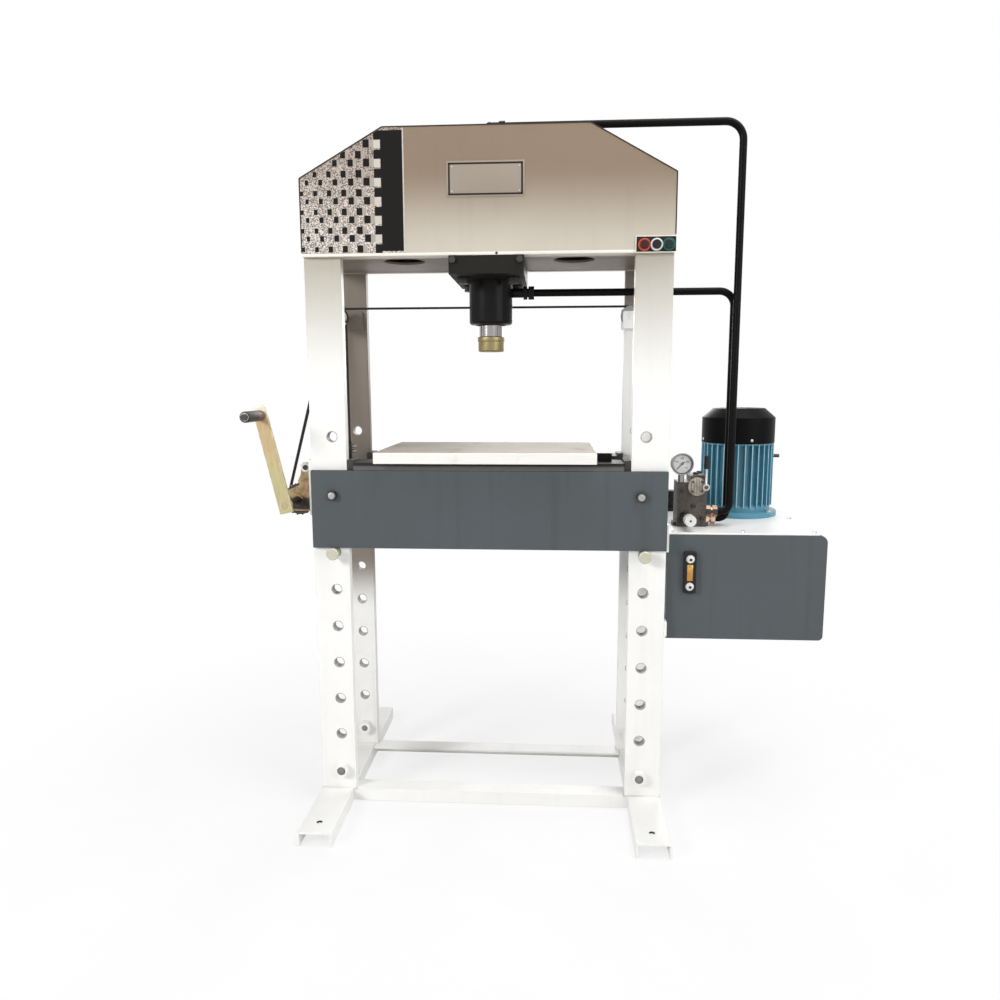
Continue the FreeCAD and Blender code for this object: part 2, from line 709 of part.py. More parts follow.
def rope_run(sheave_y, drum_y, lead):
    """Edges from lead over the left sheave and down to three quarters of a turn on the drum."""
    sheave = V(LEFT_SHEAVE_X, sheave_y, SHEAVE_Z)
    drum = V(DRUM_X, drum_y, DRUM_Z)
    flat_sheave = V(LEFT_SHEAVE_X, 0, SHEAVE_Z)
    normal = tangent_normal(V(DRUM_X, 0, DRUM_Z), COIL_R, flat_sheave, SHEAVE_R)
    leave = sheave + normal * SHEAVE_R
    arrive = drum + normal * COIL_R
    down = V(arrive.x - leave.x, 0, arrive.z - leave.z).normalize()
    start_normal = X if len(lead) == 1 else Z
    corner = corner_of(sheave, SHEAVE_R, start_normal, normal)
    points = lead + [corner, leave + down * 24, arrive - down * 24, arrive]
    bends = [SHEAVE_R] * (len(lead)) + [60.0, 60.0]
    edges = route(points, bends)
    angle = math.atan2(normal.z, normal.x)
    for step in range(2):
        spots = [angle + math.radians(125 * (step + part / 2)) for part in range(3)]
        ends = [drum + V(math.cos(a), 0, math.sin(a)) * COIL_R for a in spots]
        edges.append(Part.Arc(*ends).toShape())
    return edges


def wire_ropes():
    """Both ropes from the tops of their falls over the sheaves to the drum."""
    near_start = V(LEFT_SHEAVE_X + SHEAVE_R, NEAR_ROPE_Y, SHEAVE_Z)
    near = rope_run(NEAR_ROPE_Y, DRUM_NEAR_Y, [near_start])
    far_start = V(RIGHT_SHEAVE_X + SHEAVE_R, FAR_ROPE_Y, SHEAVE_Z)
    far_corner = V(RIGHT_SHEAVE_X + SHEAVE_R, FAR_ROPE_Y, SHEAVE_Z + SHEAVE_R)
    far = rope_run(FAR_ROPE_Y, DRUM_FAR_Y, [far_start, far_corner])
    return apart([swept(near, ROPE_R, near_start, Z), swept(far, ROPE_R, far_start, Z)])


def rope_falls():
    return apart([rod(ROPE_R, V(edge, y, FALL_BOTTOM), Z, SHEAVE_Z - FALL_BOTTOM)
                  for x, y, edge in lug_places()])


def rope_eyes():
    """Each rope's end: through the lug's eye, back up, and beside itself in the clamps."""
    eyes = []
    turn = LUG_THICK / 2 + ROPE_R + 0.5
    low = eye_z() - 1
    for x, y, edge in lug_places():
        beside = y + 2 * ROPE_R + SEAT
        points = [V(edge, y, FALL_BOTTOM), V(edge, y, FALL_BOTTOM - 33),
                  V(edge, y - turn, FALL_BOTTOM - 57), V(edge, y - turn, low),
                  V(edge, y + turn, low), V(edge, y + turn, FALL_BOTTOM - 53),
                  V(edge, beside, FALL_BOTTOM - 37), V(edge, beside, FALL_BOTTOM + 3)]
        edges = route(points, [12.0, 12.0, turn, turn, 12.0, 12.0])
        eyes.append(swept(edges, ROPE_R, points[0], Z))
    return apart(eyes)


def rope_clamps():
    """Two grips on each fall, each a block with a bow and nuts."""
    clamps = []
    for x, y, edge in lug_places():
        middle = y + ROPE_R + SEAT / 2
        for z in (FALL_BOTTOM - 29, FALL_BOTTOM - 15):
            block = slab(edge - 7, edge + 7, middle - 11, middle + 11, z, z + 9)
            block = softened(block, 2.0, lambda c, d: abs(d.z) > 5)
            bores = [rod(ROPE_R, V(edge, y, z - 1), Z, 11),
                     rod(ROPE_R, V(edge, y + 2 * ROPE_R + SEAT, z - 1), Z, 11)]
            nuts = [hex_bar(7.0, V(edge - 12, middle + s * 7.5, z + 4.5), X, 5.0) for s in (-1, 1)]
            clamps.append(joined([block] + nuts).cut(joined(bores)))
    return apart(clamps)


def sheave(x, y):
    """A grooved wheel on a bore, centred on its rope."""
    half = SHEAVE_THICK / 2
    hub = SHEAVE_HUB
    groove = [(SHEAVE_R - (ROPE_R + SEAT) * math.cos(a), (ROPE_R + SEAT) * math.sin(a))
              for a in [math.radians(30 * k) for k in range(-3, 4)]]
    profile = [(AXLE_R + RUNNING, -hub), (11, -hub), (11, -half), (SHEAVE_RIM - 1, -half),
               (SHEAVE_RIM, -half + 1)] + groove + [(SHEAVE_RIM, half - 1), (SHEAVE_RIM - 1, half),
                                                    (11, half), (11, hub), (AXLE_R + RUNNING, hub)]
    return turned(profile, V(x, y, SHEAVE_Z), Y)


def sheave_brackets():
    """Plates on the rear posts with axle, washer and nut; the right one wraps under its sheave."""
    hub = SHEAVE_HUB + SEAT
    plate_y = POST_INNER_Y - BRACKET_THICK
    pieces = []
    foot = SHEAVE_RIM + GUARD_GAP + SHEAVE_GUARD
    for left, right, low, x, first in (
            (20.0, 57.0, SHEAVE_RIM, LEFT_SHEAVE_X, NEAR_ROPE_Y),
            (24.0, BRACKET_BACK_X, foot, RIGHT_SHEAVE_X, FAR_ROPE_Y)):
        plate = slab(x - left, x + right, plate_y, POST_INNER_Y, SHEAVE_Z - low, SHEAVE_Z + BRACKET_TOP)
        plate = softened(plate, 5.0, lambda c, d: abs(d.y) > 3)
        behind = FAR_ROPE_Y + hub
        spacer = rod(12.0, V(x, behind, SHEAVE_Z), Y, plate_y - behind)
        ahead = first - hub
        axle = rod(AXLE_R, V(x, ahead - 10, SHEAVE_Z), Y, behind - ahead + 12)
        washer = rod(12.0, V(x, ahead - 2, SHEAVE_Z), Y, 2)
        nut = hex_bar(18.0, V(x, ahead - 9, SHEAVE_Z), Y, 7)
        pieces.append(joined([plate, spacer, axle, washer, nut]))
    y0 = ahead - 2 - SHEAVE_GUARD
    guard = slab(x - left, x + left, y0, ahead - 2, SHEAVE_Z - foot, SHEAVE_Z + GUARD_TOP)
    guard = softened(guard, 5.0, lambda c, d: abs(d.y) > 2)
    sole = slab(x - AXLE_R, x + AXLE_R, y0, POST_INNER_Y, SHEAVE_Z - foot, SHEAVE_Z - foot + SHEAVE_GUARD)
    pieces[1] = joined([pieces[1], guard, sole])
    return apart(pieces)


def winch_frame():
    """A plate across the posts and two cheeks that carry the shaft and the pawl."""
    plate_face = -HALF - MOUNT_PLATE
    plate = slab(plate_face, -HALF, FRONT, BACK, DRUM_Z - 31, DRUM_Z + 113)
    base = slab(plate_face - 6, plate_face, DRUM_FRONT - 16, DRUM_BACK + 9, DRUM_Z - 30, DRUM_Z + 51)
    front = front_outline([(plate_face, DRUM_Z - 30), (DRUM_X - 18, DRUM_Z - 30),
                           (DRUM_X - 32, DRUM_Z - 12), (DRUM_X - 29, DRUM_Z + 24),
                           (DRUM_X + 5, DRUM_Z + 39), (PAWL_X - 13, PAWL_Z - 10),
                           (PAWL_X - 13, PAWL_Z + 6), (PAWL_X - 6, PAWL_Z + 13),
                           (PAWL_X + 6, PAWL_Z + 13), (PAWL_X + 13, PAWL_Z + 6),
                           (PAWL_X + 13, PAWL_Z - 34), (plate_face, DRUM_Z + 51)],
                          DRUM_FRONT - 16, DRUM_FRONT - 16 + CHEEK)
    back = front_outline([(plate_face, DRUM_Z - 30), (DRUM_X - 18, DRUM_Z - 30),
                          (DRUM_X - 32, DRUM_Z - 12), (DRUM_X - 29, DRUM_Z + 24),
                          (DRUM_X + 5, DRUM_Z + 39), (plate_face, DRUM_Z + 51)],
                         DRUM_BACK + 4, DRUM_BACK + 4 + CHEEK)
    pivot = rod(PIVOT_R, V(PAWL_X, DRUM_FRONT - 15, PAWL_Z), Y, 18)
    head = joined([rod(12.5, V(PAWL_X, DRUM_FRONT - 18, PAWL_Z), Y, 2),
                   rod(6.5, V(PAWL_X, DRUM_FRONT - 22, PAWL_Z), Y, 5)])
    bearing = V(DRUM_X, DRUM_FRONT - 22, DRUM_Z)
    body = joined([plate, base, front, back, pivot, head, rod(16.0, bearing, Y, 8)])
    return body.cut(rod(SHAFT_R + RUNNING, bearing - Y, Y, 120))


def winch_drum():
    """Shaft, ratchet wheel, core with flanges and the wound turns behind the running ropes."""
    shaft = rod(SHAFT_R, V(DRUM_X, CRANK_FRONT, DRUM_Z), Y, DRUM_BACK + 14 - CRANK_FRONT)
    length = DRUM_BACK - DRUM_FRONT
    core = turned([(SHAFT_R - 1, 0), (FLANGE_R, 0), (FLANGE_R, 3), (CORE_R, 3),
                   (CORE_R, length - 3), (FLANGE_R, length - 3), (FLANGE_R, length),
                   (SHAFT_R - 1, length)], V(DRUM_X, DRUM_FRONT, DRUM_Z), Y)
    teeth = []
    for k in range(RATCHET_TEETH):
        for r, lead in ((RATCHET_R, 0.0), (RATCHET_R - 6, 0.85)):
            a = 2 * math.pi * (k + lead) / RATCHET_TEETH
            teeth.append((DRUM_X + r * math.cos(a), DRUM_Z + r * math.sin(a)))
    wheel = front_outline(teeth, DRUM_FRONT - 8, DRUM_FRONT - 8 + RATCHET_THICK)
    hub = rod(18.0, V(DRUM_X, DRUM_FRONT - 10, DRUM_Z), Y, 10)
    collar = rod(15.0, V(DRUM_X, CRANK_FRONT + CRANK_THICK, DRUM_Z), Y, 14)
    return joined([shaft, core, wheel, hub, collar])


def rope_coil():
    """The wound turns on the drum: round rope beside round rope on one sleeve."""
    first = DRUM_FAR_Y + 2 * ROPE_R + SEAT
    turns = int((DRUM_BACK - 3 - ROPE_R - first) / (2 * ROPE_R)) + 1
    outline = [(CORE_R, first - ROPE_R)]
    for k in range(turns):
        centre = first + 2 * ROPE_R * k
        for step in range(0, 7):
            a = math.radians(180 - 30 * step)
            if step or not k:
                outline.append((CORE_R + ROPE_R + ROPE_R * math.sin(a),
                                centre + ROPE_R * math.cos(a)))
    outline.append((CORE_R, first + 2 * ROPE_R * (turns - 1) + ROPE_R))
    return turned(outline, V(DRUM_X, 0, DRUM_Z), Y)


def crank_arm():
    """The flat arm and the grip's spindle bolt."""
    across = V(CRANK_DIR.z, 0, -CRANK_DIR.x)
    hub = V(DRUM_X, CRANK_FRONT, DRUM_Z)
    half = CRANK_WIDTH / 2
    low = hub - CRANK_DIR * 20
    high = hub + CRANK_DIR * (CRANK_REACH + 25)
    arm = extruded([low - across * half, low + across * half, high + across * half,
                    high - across * half], Y * CRANK_THICK)
    arm = softened(arm, half / 2, lambda c, d: abs(d.y) > 3 and (c - high).Length < CRANK_WIDTH)
    end = hub + CRANK_DIR * CRANK_REACH
    length = GRIP_LENGTH + 3
    spindle = rod(SPINDLE_R, end - Y * length, Y, length + 1)
    head = hex_bar(15.0, end - Y * (length + 5), Y, 5.5)
    return joined([arm.cut(rod(SHAFT_R, hub - Y, Y, CRANK_THICK + 2)), spindle, head])


def crank_grip():
    end = V(DRUM_X, CRANK_FRONT, DRUM_Z) + CRANK_DIR * CRANK_REACH
    inner, outer = SPINDLE_R + RUNNING, GRIP_R
    return turned([(inner, 0), (outer - 2, 0), (outer, 2), (outer, GRIP_LENGTH - 3),
                   (outer - 3, GRIP_LENGTH), (inner, GRIP_LENGTH)],
                  end - Y * (GRIP_LENGTH + 1.5), Y)


def ratchet_pawl():
    """The finger that rests on the ratchet wheel, on its pivot."""
    face = DRUM_FRONT - 8
    tip = V(DRUM_X - 1, face, DRUM_Z + RATCHET_R + 0.5)
    pivot = V(PAWL_X, face, PAWL_Z)
    along = (tip - pivot).normalize()
    side = V(-along.z, 0, along.x)
    finger = extruded([pivot + side * 7, pivot - side * 7, tip - side * 3 - along * 4, tip,
                       tip + side * 5 - along * 5], Y * RATCHET_THICK)
    boss = rod(10.0, pivot, Y, RATCHET_THICK)
    return joined([finger, boss]).cut(rod(PIVOT_R + RUNNING, pivot - Y, Y, 8))


# ---- button panel ----
def button_centres():
    middle = (PANEL_X0 + PANEL_X1) / 2 + 1
    return [middle - BUTTON_PITCH, middle, middle + BUTTON_PITCH]


def button_z():
    return (PANEL_Z0 + PANEL_Z1) / 2 - 1


def button_panel():
    face = PANEL_FACE - PANEL_THICK
    plate = slab(PANEL_X0, PANEL_X1, face, PANEL_FACE, PANEL_Z0, PANEL_Z1)
    collars = [rod(COLLAR_R, V(x, face - COLLAR_HEIGHT, button_z()), Y, COLLAR_HEIGHT + 1)
               for x in button_centres()]
    body = joined([plate] + collars)
    return body.cut(joined([rod(BUTTON_R + RUNNING, V(x, face - COLLAR_HEIGHT - 1, button_z()), Y, 12)
                            for x in button_centres()]))


def button(index):
    face = PANEL_FACE - PANEL_THICK - COLLAR_HEIGHT
    return turned([(0, 0), (BUTTON_R - 1.5, 0), (BUTTON_R, 1.5), (BUTTON_R, 17), (0, 17)],
                  V(button_centres()[index], face - BUTTON_STROKE - 1.5, button_z()), Y)


# ---- power pack ----
def tank_shell():
    """A welded box open at the top, its right-hand edges bent round."""
    body = slab(TANK_X0, TANK_X1, TANK_FRONT, TANK_BACK, TANK_BOTTOM, TANK_TOP)
    body = softened(body, TANK_TOP_ROUND,
                    lambda c, d: abs(d.y) > 100 and c.x > TANK_X1 - 1 and c.z > TANK_TOP - 1)
    body = softened(body, TANK_LOW_ROUND,
                    lambda c, d: abs(d.y) > 100 and c.x > TANK_X1 - 1 and c.z < TANK_BOTTOM + 1)
    room = slab(TANK_X0 + TANK_WALL, TANK_X1 - TANK_TOP_ROUND, TANK_FRONT + TANK_WALL,
                TANK_BACK - TANK_WALL, TANK_BOTTOM + TANK_WALL, TANK_TOP + 1)
    side = slab(TANK_X1 - TANK_TOP_ROUND - 1, TANK_X1 - TANK_WALL, TANK_FRONT + TANK_WALL,
                TANK_BACK - TANK_WALL, TANK_BOTTOM + TANK_LOW_ROUND, TANK_TOP - TANK_TOP_ROUND)
    body = body.cut(joined([room, side]))
    return body.cut(joined([rod(LEVEL_SCREW_R, V(LEVEL_X, TANK_FRONT - 1, z), Y, 6)
                            for z in (LEVEL_LOW_Z, LEVEL_HIGH_Z)]))


def tank_lid():
    lid = slab(TANK_X0, TANK_X1 - TANK_TOP_ROUND, TANK_FRONT, TANK_BACK, TANK_TOP, LID_TOP)
    ways = [rod(BELL_R + 2, V(MOTOR_X, MOTOR_Y, TANK_TOP - 1), Z, LID_THICK + 2),
            rod(FILLER_HOLE_R, V(FILLER_X, FILLER_Y, TANK_TOP - 1), Z, LID_THICK + 2)]
    return lid.cut(joined(ways))


def tank_brackets():
    """Two bars from post to post that the tank's end bolts to."""
    bars = [slab(HALF, TANK_X0, FRONT, BACK, z0, z1) for z0, z1 in
            ((TANK_BOTTOM + 10, TANK_BOTTOM + 50), (TANK_TOP - 43, TANK_TOP + 28))]
    return apart(bars)


def level_gauge():
    face = TANK_FRONT
    body = slab(LEVEL_X - 15.5, LEVEL_X + 15.5, face - 14, face, LEVEL_LOW_Z - 18,
                LEVEL_HIGH_Z + 18)
    body = softened(body, 4.0, lambda c, d: abs(d.y) > 5)
    window = slab(LEVEL_X - 8, LEVEL_X + 8, face - 15, face - 8, LEVEL_LOW_Z + 14,
                  LEVEL_HIGH_Z - 14)
    body = body.cut(window)
    screws = []
    for z in (LEVEL_LOW_Z, LEVEL_HIGH_Z):
        screws.append(hex_bar(14.0, V(LEVEL_X, face - 20, z), Y, 7))
        screws.append(rod(LEVEL_SCREW_R, V(LEVEL_X, face - 1, z), Y, 5))
    return joined([body] + screws)


def filler_breather():
    base = V(FILLER_X, FILLER_Y, LID_TOP)
    ribs = [ring(23.5, 20.0, base + Z * (20 + 9 * k), Z, 5) for k in range(4)]
    neck = FILLER_HOLE_R - BOLT_PLAY
    stem = turned([(0, -14), (neck, -14), (neck, 0), (24, 0), (24, 8), (18, 12), (18, 16),
                   (22, 18), (22, 58), (18, 62), (0, 62)], base, Z)
    return joined([stem] + ribs)


def motor_housing():
    """Foot flange, finned body with stator bore and bearing seats, and drain stub."""
    base = V(MOTOR_X, MOTOR_Y, LID_TOP)
    seat = MOTOR_SHAFT_R + RUNNING
    high = MOTOR_HEIGHT - 17
    core = turned([(seat, 0), (MOTOR_FLANGE_R, 0), (MOTOR_FLANGE_R, 12), (MOTOR_FLANGE_R - 3, 14),
                   (MOTOR_R - 5, 14), (MOTOR_R - 5, 30), (MOTOR_R - 14, 36), (MOTOR_R - 14, high),
                   (MOTOR_R - 5, high - 1), (COWL_SEAT, high + 2), (COWL_SEAT, MOTOR_HEIGHT),
                   (seat, MOTOR_HEIGHT),
                   (seat, high), (STATOR_R, high), (STATOR_R, 42), (seat, 42)], base, Z)
    fins = []
    for k in range(FIN_COUNT):
        fin = slab(MOTOR_R - 16, MOTOR_R, -FIN_THICK / 2, FIN_THICK / 2, 30, MOTOR_HEIGHT - COWL_SKIRT - 1)
        fin.rotate(V(0, 0, 0), Z, 360.0 * k / FIN_COUNT)
        fin.translate(base)
        fins.append(fin)
    stub = rod(5.0, base + V(MOTOR_R - 15, 0, STUB_RISE), X, 34)
    return joined([core] + fins + [stub])


def fan_cowl():
    base = V(MOTOR_X, MOTOR_Y, COWL_Z)
    skin, high = COWL_SKIN, COWL_HEIGHT
    cowl = turned([(COWL_R - skin, -COWL_SKIRT), (COWL_R, -COWL_SKIRT), (COWL_R, high - 26),
                   (COWL_TOP_R, high), (0, high), (0, high - skin), (COWL_TOP_R - 1, high - skin),
                   (COWL_R - skin, high - 27)], base, Z)
    slots = []
    for k in range(16):
        slot = slab(24, COWL_TOP_R - 10, -2.5, 2.5, high - 6, high + 1)
        slot.rotate(V(0, 0, 0), Z, 22.5 * k)
        slot.translate(base)
        slots.append(slot)
    return cowl.cut(joined(slots))


def motor_rotor():
    """Shaft, rotor stack and cooling fan."""
    base = V(MOTOR_X, MOTOR_Y, LID_TOP)
    parts = [rod(MOTOR_SHAFT_R, base - Z * 40, Z, MOTOR_HEIGHT + 80),
             rod(STATOR_R - 5, base + Z * 52, Z, MOTOR_HEIGHT - 79),
             ring(92.0, MOTOR_SHAFT_R - 1, base + Z * (MOTOR_HEIGHT + 16), Z, 4)]
    for k in range(8):
        blade = slab(30, 90, -1.5, 1.5, MOTOR_HEIGHT + 19, MOTOR_HEIGHT + 52)
        blade.rotate(V(0, 0, 0), Z, 45.0 * k)
        blade.translate(base)
        parts.append(blade)
    return joined(parts)


def terminal_box():
    back = MOTOR_Y + MOTOR_R
    low = LID_TOP + BOX_RISE
    box = slab(MOTOR_X - BOX_HALF, MOTOR_X + BOX_HALF, back - 30, back + BOX_OUT, low, low + BOX_HEIGHT)
    box = softened(box, 6.0, lambda c, d: abs(d.y) > 30)
    return box.cut(rod(MOTOR_R - 15, V(MOTOR_X, MOTOR_Y, low), Z, BOX_HEIGHT))


def pump():
    """Bell, gear pump and suction strainer hung under the lid."""
    base = V(MOTOR_X, MOTOR_Y, LID_TOP)
    bell = ring(BELL_R, BELL_R - 20, base - Z * 60, Z, 60)
    block = slab(MOTOR_X - 45, MOTOR_X + 45, MOTOR_Y - 40, MOTOR_Y + 40, LID_TOP - 150, LID_TOP - 60)
    strainer = rod(30.0, base - Z * 250, Z, 102)
    return joined([bell, block, strainer])


def valve_block():
    """The cast manifold: stepped body, round cover, relief cartridge and lever stub."""
    x0, x1 = VALVE_X0, VALVE_X1
    step = VALVE_SHELF
    body = front_outline([(x0, LID_TOP), (x1, LID_TOP), (x1, VALVE_TOP - 4), (x1 - 4, VALVE_TOP),
                          (x0 + 37, VALVE_TOP), (x0 + 33, VALVE_TOP - 4), (x0 + 33, step),
                          (x0, step)], VALVE_FRONT, VALVE_BACK)
    cover = rod(COVER_R, V(COVER_X, VALVE_FRONT - 6, LEVER_Z), Y, 8)
    stub = rod(PIVOT_R, V(LEVER_X, VALVE_FRONT - 23, LEVER_Z), Y, 26)
    relief = joined([hex_bar(24.0, V(KNOB_X, VALVE_FRONT - 20, KNOB_Z), Y, 21),
                     rod(9.0, V(KNOB_X, VALVE_FRONT - 54, KNOB_Z), Y, 36),
                     hex_bar(22.0, V(KNOB_X, VALVE_FRONT - 36, KNOB_Z), Y, 8)])
    relief = relief.cut(rod(SPINDLE_R, V(KNOB_X, VALVE_FRONT - 55, KNOB_Z), Y, 30))
    base = VALVE_BACK - 20
    foot = slab(x0 - 8, x1 + 8, VALVE_FRONT + 14, base, LID_TOP, LID_TOP + 10)
    return joined([body, cover, stub, relief, foot])


def valve_fittings():
    """Adapters and nuts that take the two pipes on the block's right side."""
    pieces = []
    for y, z in ((UPPER_PIPE_Y, UPPER_PORT_Z), (0, LOWER_PORT_Z)):
        pieces.append(joined([hex_bar(26.0, V(VALVE_X1, y, z), X, 12),
                              rod(11.0, V(VALVE_X1 + 11, y, z), X, 8),
                              hex_bar(27.0, V(PIPE_END_X - 12, y, z), X, 12)]))
    return apart(pieces)


def valve_lever():
    hub_y = VALVE_FRONT - 21
    hub = V(LEVER_X, hub_y, LEVER_Z)
    middle = hub_y + 7
    stick = rod(3.75, V(LEVER_X, middle, LEVER_Z + 6), Z, 50)
    grip = turned([(0, 0), (6.5, 0), (6.5, 33), (4.5, 36), (0, 36)],
                  V(LEVER_X, middle, LEVER_Z + 48), Z)
    return joined([rod(9.0, hub, Y, 14), stick, grip]).cut(rod(PIVOT_R + RUNNING, hub - Y, Y, 16))


def relief_knob():
    flutes = []
    end = V(KNOB_X, VALVE_FRONT - 85, KNOB_Z)
    for k in range(12):
        a = math.radians(30 * k)
        flutes.append(rod(1.5, end + V(15.6 * math.cos(a), -1, 15.6 * math.sin(a)), Y, 32))
    knob = rod(15.0, end, Y, 28).cut(joined(flutes))
    return joined([knob, rod(SPINDLE_R - RUNNING, end + Y * 27, Y, 28)])


def pressure_gauge():
    """Case with rolled rim, pivot, and the hex stem on the block's step."""
    base = V(GAUGE_X, GAUGE_FRONT, GAUGE_Z)
    case = turned([(1.0, 9), (1.0, 4), (0, 4), (0, GAUGE_DEPTH), (GAUGE_R - 4, GAUGE_DEPTH),
                   (GAUGE_R - 2, GAUGE_DEPTH - 2), (GAUGE_R - 2, 9), (GAUGE_R, 7), (GAUGE_R, 1),
                   (GAUGE_R - 1, 0), (GAUGE_R - 3, 0), (GAUGE_R - 3, 9)], base, Y)
    stem_y = GAUGE_FRONT + GAUGE_DEPTH / 2 + 4
    stem = hex_bar(14.0, V(GAUGE_X, stem_y, VALVE_SHELF), Z, GAUGE_Z - GAUGE_R - VALVE_SHELF + 6)
    return joined([case, stem])


def gauge_needle():
    """A thin pointer, at rest towards the lower left."""
    hub = V(GAUGE_X, GAUGE_FRONT + 5, GAUGE_Z)
    a = math.radians(225)
    along = V(math.cos(a), 0, math.sin(a))
    side = V(-along.z, 0, along.x)
    blade = extruded([hub - along * 7 + side * 1.5, hub - along * 7 - side * 1.5,
                      hub + along * 23 - side * 0.4, hub + along * 23 + side * 0.4], Y * 0.8)
    return joined([blade, rod(3.0, hub, Y, 1.5)]).cut(rod(1.0 + RUNNING, hub - Y, Y, 4))


def build():
    post = front_left_post()
    save("front_left_upright", post)
    save("front_right_upright", flipped_x(post))
    save("rear_left_upright", flipped_y(post))
    save("rear_right_upright", flipped_y(flipped_x(post)))
    save("header_plates", apart([front_header(), flipped_y(front_header())]))
    save("header_fascia", fascia())
    save("header_roof", header_roof())
    save("header_floor", header_floor())
    save("feet", apart([right_foot(), flipped_x(right_foot())]))
    save("floor_ties", apart([front_tie(), flipped_y(front_tie())]))
    save("frame_bolts", frame_bolts())
    save("cylinder_mount", cylinder_mount())
    save("cylinder_barrel", barrel())
    save("cylinder_ends", apart([cylinder_head(), rod_gland()]))
    save("piston_rod", piston_rod())
    save("ram_cap", ram_cap())
    save("port_fittings", port_fittings())
    save("upper_pipe", upper_pipe())
    save("lower_pipe", lower_pipe())
    save("front_bolster_channel", front_channel())
    save("rear_bolster_channel", flipped_y(front_channel()))
    save("bolster_ribs", bolster_ribs())
    save("clamp_screws", clamp_screws())
    save("support_bars", support_bars())
    save("table_plate", table_plate())
    save("stop_block", stop_block())
    save("guide_blocks", guide_blocks())
    save("left_rest_pin", left_pin())
    save("right_rest_pin", flipped_x(left_pin()))
    save("wire_ropes", wire_ropes())
    save("rope_falls", rope_falls())
    save("rope_eyes", rope_eyes())
    save("rope_clamps", rope_clamps())
    save("sheave_brackets", sheave_brackets())
    save("left_sheaves", apart([sheave(LEFT_SHEAVE_X, NEAR_ROPE_Y), sheave(LEFT_SHEAVE_X, FAR_ROPE_Y)]))
    save("right_sheave", sheave(RIGHT_SHEAVE_X, FAR_ROPE_Y))
    save("winch_frame", winch_frame())
    save("winch_drum", winch_drum())
    save("rope_coil", rope_coil())
    save("crank_arm", crank_arm())
    save("crank_grip", crank_grip())
    save("ratchet_pawl", ratchet_pawl())
    save("button_panel", button_panel())
    save("red_button", button(0))
    save("white_button", button(1))
    save("green_button", button(2))
    save("tank_shell", tank_shell())
    save("tank_lid", tank_lid())
    save("tank_brackets", tank_brackets())
    save("level_gauge", level_gauge())
    save("filler_breather", filler_breather())
    save("motor_housing", joined([motor_housing(), terminal_box()]))
    save("motor_rotor", motor_rotor())
    save("fan_cowl", fan_cowl())
    save("pump", pump())
    save("valve_block", joined([valve_block(), valve_fittings()]))
    save("valve_lever", valve_lever())
    save("relief_knob", relief_knob())
    save("pressure_gauge", pressure_gauge())
    save("gauge_needle", gauge_needle())


build()
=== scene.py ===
"""Looks of a hydraulic workshop press: paint, metal, trim, floor, lamps and camera."""

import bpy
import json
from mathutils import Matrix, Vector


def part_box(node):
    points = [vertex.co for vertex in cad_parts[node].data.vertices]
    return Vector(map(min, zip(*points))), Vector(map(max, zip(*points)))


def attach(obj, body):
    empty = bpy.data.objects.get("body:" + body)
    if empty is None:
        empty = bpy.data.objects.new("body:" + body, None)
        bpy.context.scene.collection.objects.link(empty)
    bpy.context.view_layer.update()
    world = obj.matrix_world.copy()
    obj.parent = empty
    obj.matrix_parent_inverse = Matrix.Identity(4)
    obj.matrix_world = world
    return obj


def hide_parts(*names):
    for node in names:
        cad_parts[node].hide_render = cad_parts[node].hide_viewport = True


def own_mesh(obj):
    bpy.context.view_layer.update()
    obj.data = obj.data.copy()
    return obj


bl_info = {
    "name": "Workshop press",
    "version": (1, 0, 0),
    "blender": (4, 5, 0),
    "location": "View3D > Sidebar > Press",
    "description": "Finishes and trim of a hydraulic workshop press",
    "category": "Object",
}

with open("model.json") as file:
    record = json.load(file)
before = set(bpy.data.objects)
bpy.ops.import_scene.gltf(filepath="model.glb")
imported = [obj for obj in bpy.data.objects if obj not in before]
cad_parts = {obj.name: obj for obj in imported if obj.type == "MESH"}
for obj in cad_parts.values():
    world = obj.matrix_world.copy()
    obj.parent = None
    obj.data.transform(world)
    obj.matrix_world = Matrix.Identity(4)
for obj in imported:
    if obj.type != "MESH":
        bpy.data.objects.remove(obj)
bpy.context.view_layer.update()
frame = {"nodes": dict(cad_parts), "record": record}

import json
import math

import bmesh
import bpy
from bpy.props import FloatProperty, FloatVectorProperty, IntProperty, PointerProperty
from mathutils import Matrix, Vector

BODY_OF = {n: b for b, members in frame["record"]["behaviour"]["bodies"].items() for n in members}
AXES = {"x": Vector((1, 0, 0)), "y": Vector((0, 1, 0)), "z": Vector((0, 0, 1))}


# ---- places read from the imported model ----
def low(node):
    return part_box(node)[0]


def high(node):
    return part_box(node)[1]


def middle(node):
    a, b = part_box(node)
    return (a + b) / 2


COVER = "header_fascia"
FASCIA_LOW, FASCIA_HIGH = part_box(COVER)
FACE_Y = FASCIA_LOW.y
HEADER_BOTTOM, HEADER_TOP = FASCIA_LOW.z, FASCIA_HIGH.z
HEADER_HALF = FASCIA_HIGH.x
POST_LOW, POST_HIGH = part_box("front_left_upright")
PIN_X = abs(middle("left_rest_pin").x)
TANK_LOW, TANK_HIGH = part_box("tank_shell")
LID_TOP = high("tank_lid").z
COWL_LOW, COWL_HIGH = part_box("fan_cowl")
MOTOR_AXIS = Vector(((COWL_LOW.x + COWL_HIGH.x) / 2, (COWL_LOW.y + COWL_HIGH.y) / 2, 0))
FINE_WELD = 0.0026

# ---- places inside a node's shape, in metres ----
HAIR = 0.0003  # play allowed where the faces of one shape are told apart
# header: where its slopes start and end, and its two plates
HEADER_SHOULDER, HEADER_TOP_HALF, HEADER_PLATE_Y = 1.621, 0.2485, 0.123
# rest-pin holes
HOLE_PITCH, FIRST_HOLE_Z = 0.1, 0.094
